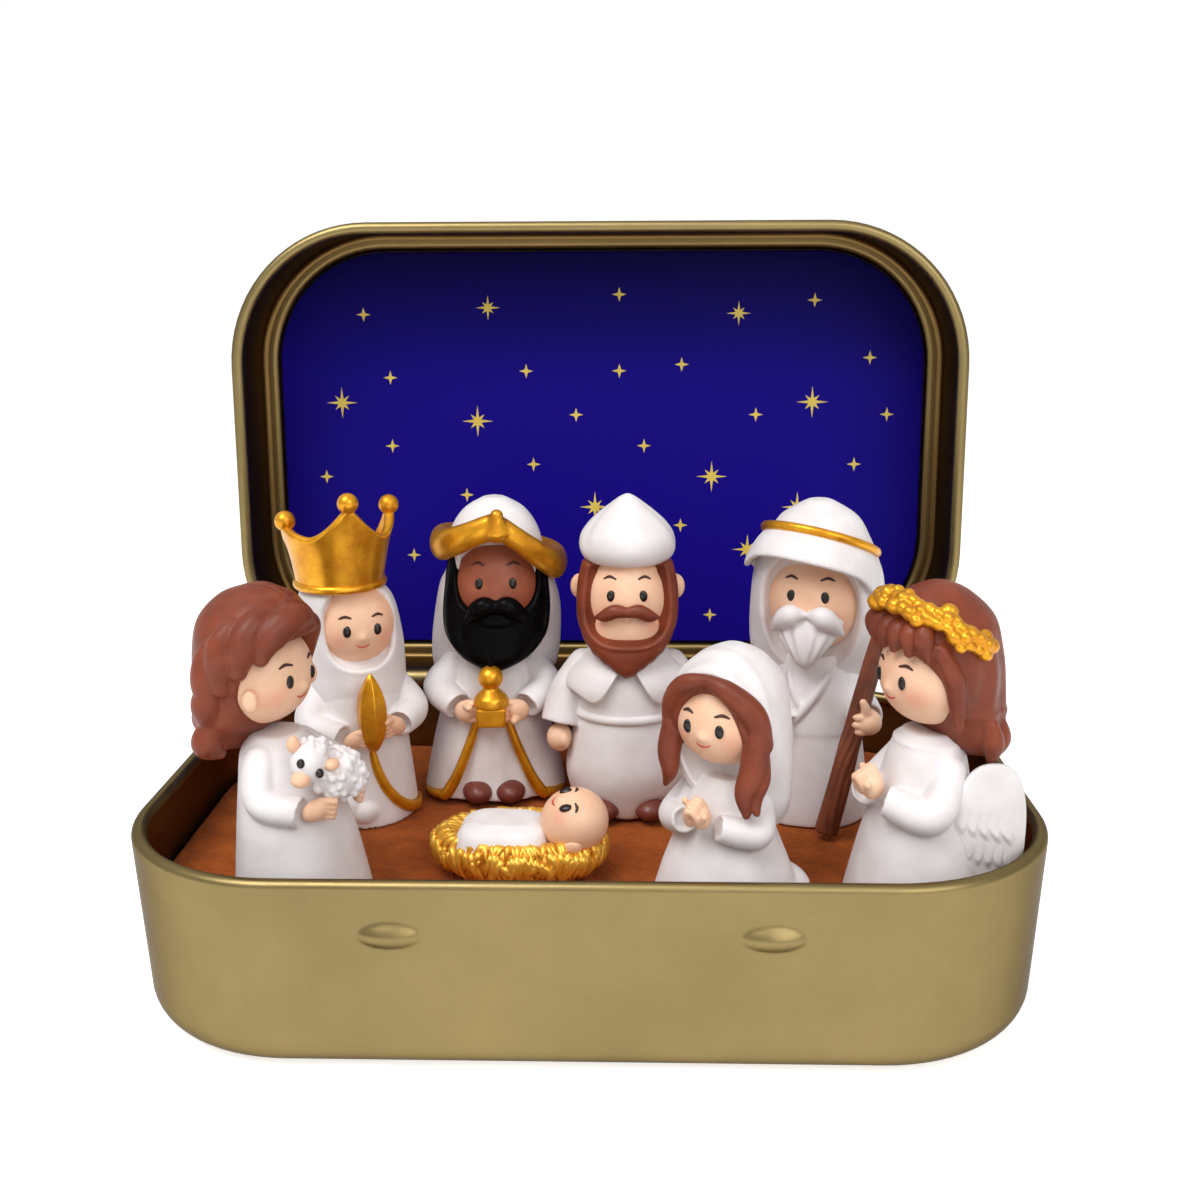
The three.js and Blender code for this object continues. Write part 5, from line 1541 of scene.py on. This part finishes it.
arms = [[[4.8, -0.2, 18.4], [7.2, -2.2, 15.8], [8.2, -4.6, 15.6]],
        [[-4.8, -0.2, 18.4], [-6.6, -3.2, 14.6], [-1.6, -6.4, 13.4]]]
edges = [trim(gown, [-58, -76, -96, -114], [20.4, 18.2, 15.2, 12.8], (0.5, 0.62, 0.62, 0.5), 0.15),
         trim(gown, [-122, -108, -96], [20.4, 18.4, 16.4], (0.5, 0.6, 0.5), 0.1)]
father("robe", robe(gown, arms, (2.1, 2.2, 2.0), girdle, edges), WHITE, melt=(0.22, 3))
wrist = limb([[8.3, -5.2, 15.7], [8.6, -6.9, 15.9], [8.8, -8.1, 16.0], [8.8, -8.6, 16.0]],
             (1.3, 1.5, 1.75, 1.5))
knuckles = [[7.9, -9.3, 16.9], [7.8, -9.3, 15.9], [8.0, -9.2, 15.0]]
fingers = eggs(np.full((3, 3), [1.0, 0.65, 0.55]), knuckles, rows=16, sides=20)
thumb = limb([[8.6, -8.9, 17.0], [8.5, -9.2, 18.2], [8.2, -9.3, 19.0]], (0.7, 0.6, 0.5))
father("hand", joined(wrist, fingers, thumb), SKIN, melt=FINE_MELT)
path = smooth_rows([[4.1, -9.6, 0.5], [5.9, -8.8, 9.4], [7.3, -8.2, 16.3], [9.7, -7.2, 27.3]], 160)
father("staff", staff(path, 1.5, 1.15), STAFF)
tell("father")

# %% Father's head, beard, scarf and ring
size, place = [6.3, 6.0, 7.2], [0, -0.4, 30.2]
head(father, size, place)
face(father, size, place, mouth=False, level=0.2)
levels = [[22.0, 0.4, 0.4, 0, -6.6], [23.0, 1.4, 1.1, 0, -6.5], [24.6, 2.7, 1.9, 0, -5.9],
          [26.4, 3.9, 2.6, 0, -5.0], [28.2, 4.4, 2.7, 0, -4.2], [29.2, 3.6, 2.2, 0, -4.0]]
beard = form(levels, rows=110, sides=160,
             fold=lambda a, z: 0.06 * np.sin(13 * a + 0.25 * z) * np.clip((29 - z) / 3, 0, 1))
whiskers = limbs([[0.8, -6.7, 29.2], [2.0, -6.9, 29.1], [3.3, -6.3, 28.1], [4.4, -5.6, 26.9]],
                 (0.8, 1.45, 1.25, 0.5), rows=50)
father("beard", joined(beard, *whiskers), WHITE, melt=(0.16, 2))


def brim(a):
    """Height of the folded edge below the ring: a flap before each temple, and behind the head it ends
    under the ring."""
    aside = off_front(a)
    fold = -4.1 - 1.3 * np.exp(-((aside - 1.4) / 0.35) ** 2)
    behind = np.clip((aside - 1.8) / 0.5, 0, 1)
    return fold + (-0.6 - fold) * behind ** 2 * (3 - 2 * behind)


def on_ring(shape):
    """Tilts a shape with the ring: up in front, and down on the left."""
    return moved(tilted(tilted(shape, "X", -20), "Y", 9), (0.2, 0.5, 37.8))


levels = [[18.8, 5.6, 2.6, -0.2, 2.6], [19.6, 8.3, 4.3, -0.2, 2.6], [22.5, 9.3, 5.4, 0, 2.1],
          [28, 9.1, 6.7, 0, 1.1], [33, 8.7, 7, 0, 0.6], [35.6, 7.9, 7, 0, 0.4], [38, 6.9, 6.7, 0, 0.3],
          [41, 5.2, 5.2, 0, 0.2], [43, 2.2, 2.2, 0, 0.2], [43.4, 1.2, 1.2, 0, 0.2]]
scarf = covering(levels, (0, 1.2, 30), ([8.2, 7.8, 10.2], [0, -8.4, 27.4]), lip=0.9, square=2.6,
                 carve=lambda a, z: 0.16 * np.sin(10 * a + 1) * np.clip((33 - z) / 8, 0, 1))
flare = [[-9, 8.6, 8.2], [-6.5, 8.4, 8.4], [-4, 8.1, 8.3], [-2, 7.5, 7.7], [-0.8, 6.9, 7.0], [0.2, 6.3, 6.3]]
father("scarf", joined(scarf, on_ring(cape(flare, brim, 0.8, rows=40))), WHITE, melt=(0.24, 5))
father("ring", on_ring(roll((7.6, 7.5), (0.55, 0.6), sides=200)), GOLD)
tell("father")

# %% [markdown]
# ## Angel
# The angel's wreath is a ring of small rosettes, each five petals round a button, melted together as in a
# casting. The wings are flat rounded leaves, and their slim feathers are worked into the leaf's thickness.
# Feathers as separate pieces would be too thin to mould.

# %% Angel's gown, hands and head
angel = stand("angel", 39.1, -19.4, -66)
gown = [[0, 8.3, 7.9], [0.5, 8.7, 8.3], [8, 7.3, 6.9, 0, 0.2], [14, 5.8, 5.4, 0, 0.4],
        [19.4, 4.6, 4.1, 0, 0.6], [21.6, 2.9, 2.8, 0, 0.6]]
arms = both_sides([[4.2, 0.7, 17.8], [5.6, -2.4, 13.4], [2.0, -6.0, 14.4]])
neckline = moved(roll((3.9, 3.6), (0.35, 0.3)), (0, 0.6, 20.4))
shape = robe(gown, arms, (1.9, 2.2, 1.9), folds(5, 0.025, 14, 0.2), [neckline])
angel("gown", shape, WHITE, melt=(0.24, 5))
angel("hands", praying_hands((0, -7.1, 15.8)), SKIN, melt=(0.13, 3))
size, place = [6.1, 5.9, 6.0], [0, 0.6, 28.4]
head(angel, size, place)
face(angel, size, place)
tell("angel")

# %% Angel's hair
levels = [[18.6, 3.2, 1.6, 0, 5.5], [19.6, 5.4, 3.0, 0, 5.4], [22, 6.6, 4.4, 0, 4.6],
          [26.5, 7.0, 6.0, 0, 2.9], [31, 7.1, 6.8, 0, 1.6], [35, 6.2, 6.3, 0, 1.2],
          [37.8, 3.6, 3.7, 0, 1.0], [39, 1.2, 1.2, 0, 1.0]]


def strands(a, z):
    """Fine strands that wind a little as they fall, and waves across the ends."""
    fine = 0.14 * np.sin(15 * a + 0.5 * np.sin(0.8 * z)) * np.clip((35 - z) / 4, 0, 1)
    return fine + 0.2 * np.sin(1.3 * z) * (z < 25)


hair = covering(levels, (0, 2.2, 29), ([10, 7.4, 7.0], [0, -7.0, 26.4]), carve=strands)
fringe = [limb([[0.75 * c, -3.2, 35.6], [0.95 * c, -5.1 + 0.035 * c * c, 34.0],
                [c, -5.5 + 0.07 * c * c, 32.2 - 0.02 * c * c]], (0.8, 1.15, 0.55))
          for c in (-4.8, -2.9, -0.9, 1.1, 3.1, 5.0)]
temples = limbs([[5.4, -2.4, 32.6], [6.2, -1.0, 29.4], [6.1, -0.2, 26.4], [6.4, -0.1, 23.8]],
                (1.0, 1.2, 1.0, 0.6), rows=40)
a = np.radians([10, 40, 65, 90, 115, 140, 170])
ends = [limb([[6.6 * c, 3.4 + 4.2 * s, 23.4], [6.8 * c, 3.8 + 4.4 * s, 21.2], [6.3 * c, 4.0 + 4.1 * s, 19.2]],
             (1.0, 1.25, 0.5)) for c, s in zip(np.cos(a), np.sin(a))]
angel("hair", joined(hair, *fringe, *temples, *ends), CHESTNUT, melt=(0.18, 3))
print("locks:", len(fringe + temples + ends))

# %% Angel's wreath
WREATH_RADIUS, WREATH_HALF, FLOWERS, PETALS = 6.9, 96, 10, 5


def wreath():
    """Rosettes on an arc from ear to ear: round each centre, the petals stand at even angles on a plane that
    faces out, and one seeded draw varies their sizes."""
    draw = np.random.default_rng(21)
    a = np.radians(np.linspace(-90 - WREATH_HALF, -90 + WREATH_HALF, FLOWERS))[:, None]
    b = angles(PETALS)[None, :] + 0.6 * np.arange(FLOWERS)[:, None]
    out = np.stack([np.cos(a), np.sin(a), 0.35 + 0 * a], axis=-1)
    beside = np.stack([-np.sin(a), np.cos(a), 0 * a], axis=-1)
    upward = np.cross(out, beside)
    centre = np.stack([WREATH_RADIUS * np.cos(a), WREATH_RADIUS * np.sin(a), 0.45 * np.sin(7 * a)], axis=-1)
    petal = centre + 0.25 * out + 1.05 * (np.cos(b)[..., None] * beside + np.sin(b)[..., None] * upward)
    petal_sizes = 0.88 * draw.uniform(0.7, 1.3, (FLOWERS * PETALS, 1)) * np.array([1.1, 1.1, 0.9])
    petals = eggs(petal_sizes, petal.reshape(-1, 3), rows=10, sides=14)
    buttons = eggs(np.full((FLOWERS, 3), 0.7), (centre + 0.8 * out).reshape(-1, 3), rows=10, sides=14)
    stalk = limb(centre[:, 0], np.full(FLOWERS, 0.8), rows=60)
    return joined(petals, buttons, stalk)


angel("wreath", moved(tilted(wreath(), "X", -34), (0, 1.1, 33.4)), GOLD, melt=FINE_MELT)
print("wreath of", FLOWERS, "rosettes")

# %% Angel's wings
WING_HALF_WIDTH, WING_HALF_HEIGHT, FEATHER_WIDTH, FEATHER_LENGTH = 4.4, 8.7, 1.25, 3.3


def wing(side):
    """Flat rounded leaf with slim feathers in both faces. In leaf coordinates, p across and q up, c runs
    from -1 to 1 across a feather and t from 0 to 1 down it. It stands by min(t, 3 (1 - t)) (1 - |c|^3),
    highest near its lower end, which 0.3 c^2 rounds. The relief fades at the leaf's shoulder and edge."""
    across, through, upward = np.moveaxis(ball_grid(150, 190), -1, 0)
    square = (np.abs(across) ** 2.5 + np.abs(upward) ** 2.5) ** 0.4
    round_off = np.hypot(across, upward) / np.maximum(square, 1e-9)
    p, q = WING_HALF_WIDTH * across * round_off, WING_HALF_HEIGHT * upward * round_off
    c = 2 * np.mod((p + 0.2 * q + 0.25 * np.sin(1.5 * q)) / FEATHER_WIDTH, 1) - 1
    down = (2.8 - q - 0.3 * p) / FEATHER_LENGTH + 0.3 * c ** 2
    t = np.mod(down, 1)
    feather = np.minimum(t, 3 * (1 - t)) * (1 - np.abs(c) ** 3)
    shoulder = np.clip((3.2 - p) / 1.2, 0, 1) * np.clip(down / 0.6, 0, 1)
    edge = np.clip((1 - across ** 2 - upward ** 2) / 0.25, 0, 1)
    relief = 0.4 * (shoulder * edge) * (feather - 0.4)
    thick = np.sign(through) * (0.9 * np.abs(through) ** 0.6 + relief * np.abs(through) ** 0.5)
    shape = skin(np.stack([side * p, thick, q], axis=-1))
    return moved(tilted(shape, "Z", side * 77), (side * 7.0, 4.5, 10.4))


for name, side in (("near", 1), ("far", -1)):
    angel(f"wing_{name}", wing(side), WHITE)
tell("angel")

# %% [markdown]
# ## Baby in the straw
# The nest is a bowl with gold straws laid over it. A texture would leave its edge smooth, so each straw is a
# thin tapered tube with few faces. One seeded draw varies their places, so no two look the same. The baby's
# head is drawn upright like the others and then laid on its back.

# %% Straw nest
STRAWS, STRAW_ROWS, STRAW_RADIUS = 190, 6, 0.52
NEST_HALF_LENGTH, NEST_HALF_WIDTH = 10.8, 7.1
BABY_PLACE = (-8.6, -12.0, -4)


def straws(seed):
    """Tapered straws over the nest, with ends and sizes from a seeded draw. Some run from the inner edge over
    the crest and down, the others down the outside: at the share r of the radius the height falls by the
    square of how far r is past the crest. Each drifts aside as it goes."""
    draw = np.random.default_rng(seed)
    t = np.linspace(0, 1, STRAW_ROWS)[None, :]
    a = draw.uniform(0, 2 * np.pi, (2, STRAWS, 1))
    drift = draw.uniform(-0.2, 0.2, (2, STRAWS, 1)) * (t - 0.5)
    size = draw.uniform(0.75, 1.2, (2, STRAWS, 1))
    first = draw.uniform(0.6, 0.84, (STRAWS, 1))
    over = first + (draw.uniform(0.96, 1.02, (STRAWS, 1)) - first) * t
    fall = draw.uniform(1.0, 2.6, (STRAWS, 1)) * np.clip((over - 0.84) / 0.17, 0, 1) ** 2
    over_z = 5.5 - 4.0 * np.clip(0.8 - over, 0, 1) - fall
    top, foot = draw.uniform(3.6, 5.2, (STRAWS, 1)), draw.uniform(0.6, 2.2, (STRAWS, 1))
    down_z = top + (foot - top) * t
    down = 0.85 + 0.15 * np.sin(np.clip(down_z / 5.4, 0, 1) * np.pi * 0.72)
    r, z = np.stack([over, down]), np.stack([over_z, down_z])
    x, y = NEST_HALF_LENGTH * r * np.cos(a + drift), NEST_HALF_WIDTH * r * np.sin(a + drift)
    paths = np.stack([x, y, z], axis=-1).reshape(-1, STRAW_ROWS, 3)
    thin = (STRAW_RADIUS * np.sin(np.pi * (0.3 + 0.66 * t)) * size).reshape(-1, STRAW_ROWS)
    return tubes(paths, thin, sides=5, dome=1)


bowl = [[0.1, 8.0, 5.0], [0.4, 8.6, 5.4], [1.6, 10.0, 6.4], [3.6, 10.7, 6.9], [5.0, 10.0, 6.3],
        [5.2, 9.2, 5.7], [4.2, 8.2, 4.8], [2.6, 6.5, 3.6]]
straw = stand("baby", *BABY_PLACE, prefix="straw")
straw("nest", joined(form(bowl, rows=70), straws(seed=12)), GOLD_WITH_PAINTED_HIGHLIGHT)
print("nest of", 2 * STRAWS, "straws")

# %% Baby
BABY_HEAD = np.array([7.1, -1.0, 7.4])
baby = stand("baby", *BABY_PLACE)
flap = [[2.9, 5.0, 4.1, -1.5, -1.3], [3.6, 6.0, 4.9, -1.7, -1.4], [5.4, 5.9, 4.8, -1.7, -1.4],
        [6.8, 5.3, 4.2, -1.6, -1.2], [7.5, 3.8, 2.8, -1.5, -1.0]]


def squarer(a, z):
    """Pushes an oval out at its four corners."""
    return 0.09 * (1 - np.cos(4 * a)) - 0.06


def lay(part, shape, material, **more):
    """Adds a piece of a head drawn upright, laid on its back: the crown points along +X, and the face up and
    to the front."""
    vertices, quads, triangles = shape
    crown_way, face_way = np.array([0.97, 0.0, 0.24]), unit(np.array([-0.3, -0.4, 0.87]))
    face_way = unit(face_way - (face_way @ crown_way) * crown_way)
    axes = np.stack([np.cross(-face_way, crown_way), -face_way, crown_way])
    lying = vertices @ axes + BABY_HEAD, quads, triangles
    return baby(part, lying, material, **more)


baby("swaddle", form(flap, rows=60, sides=120, fold=squarer), WHITE, melt=(0.18, 4))
size, place = [4.1, 4.0, 4.2], [0, 0, 0]
head(lay, size, place, lumps=twins([0.7, 1.0, 1.2], [3.9, 0.5, -0.4]))
face(lay, size, place)
tell("baby")

# %% [markdown]
# ## Size
# The dressed tin has to keep the size of the solids.
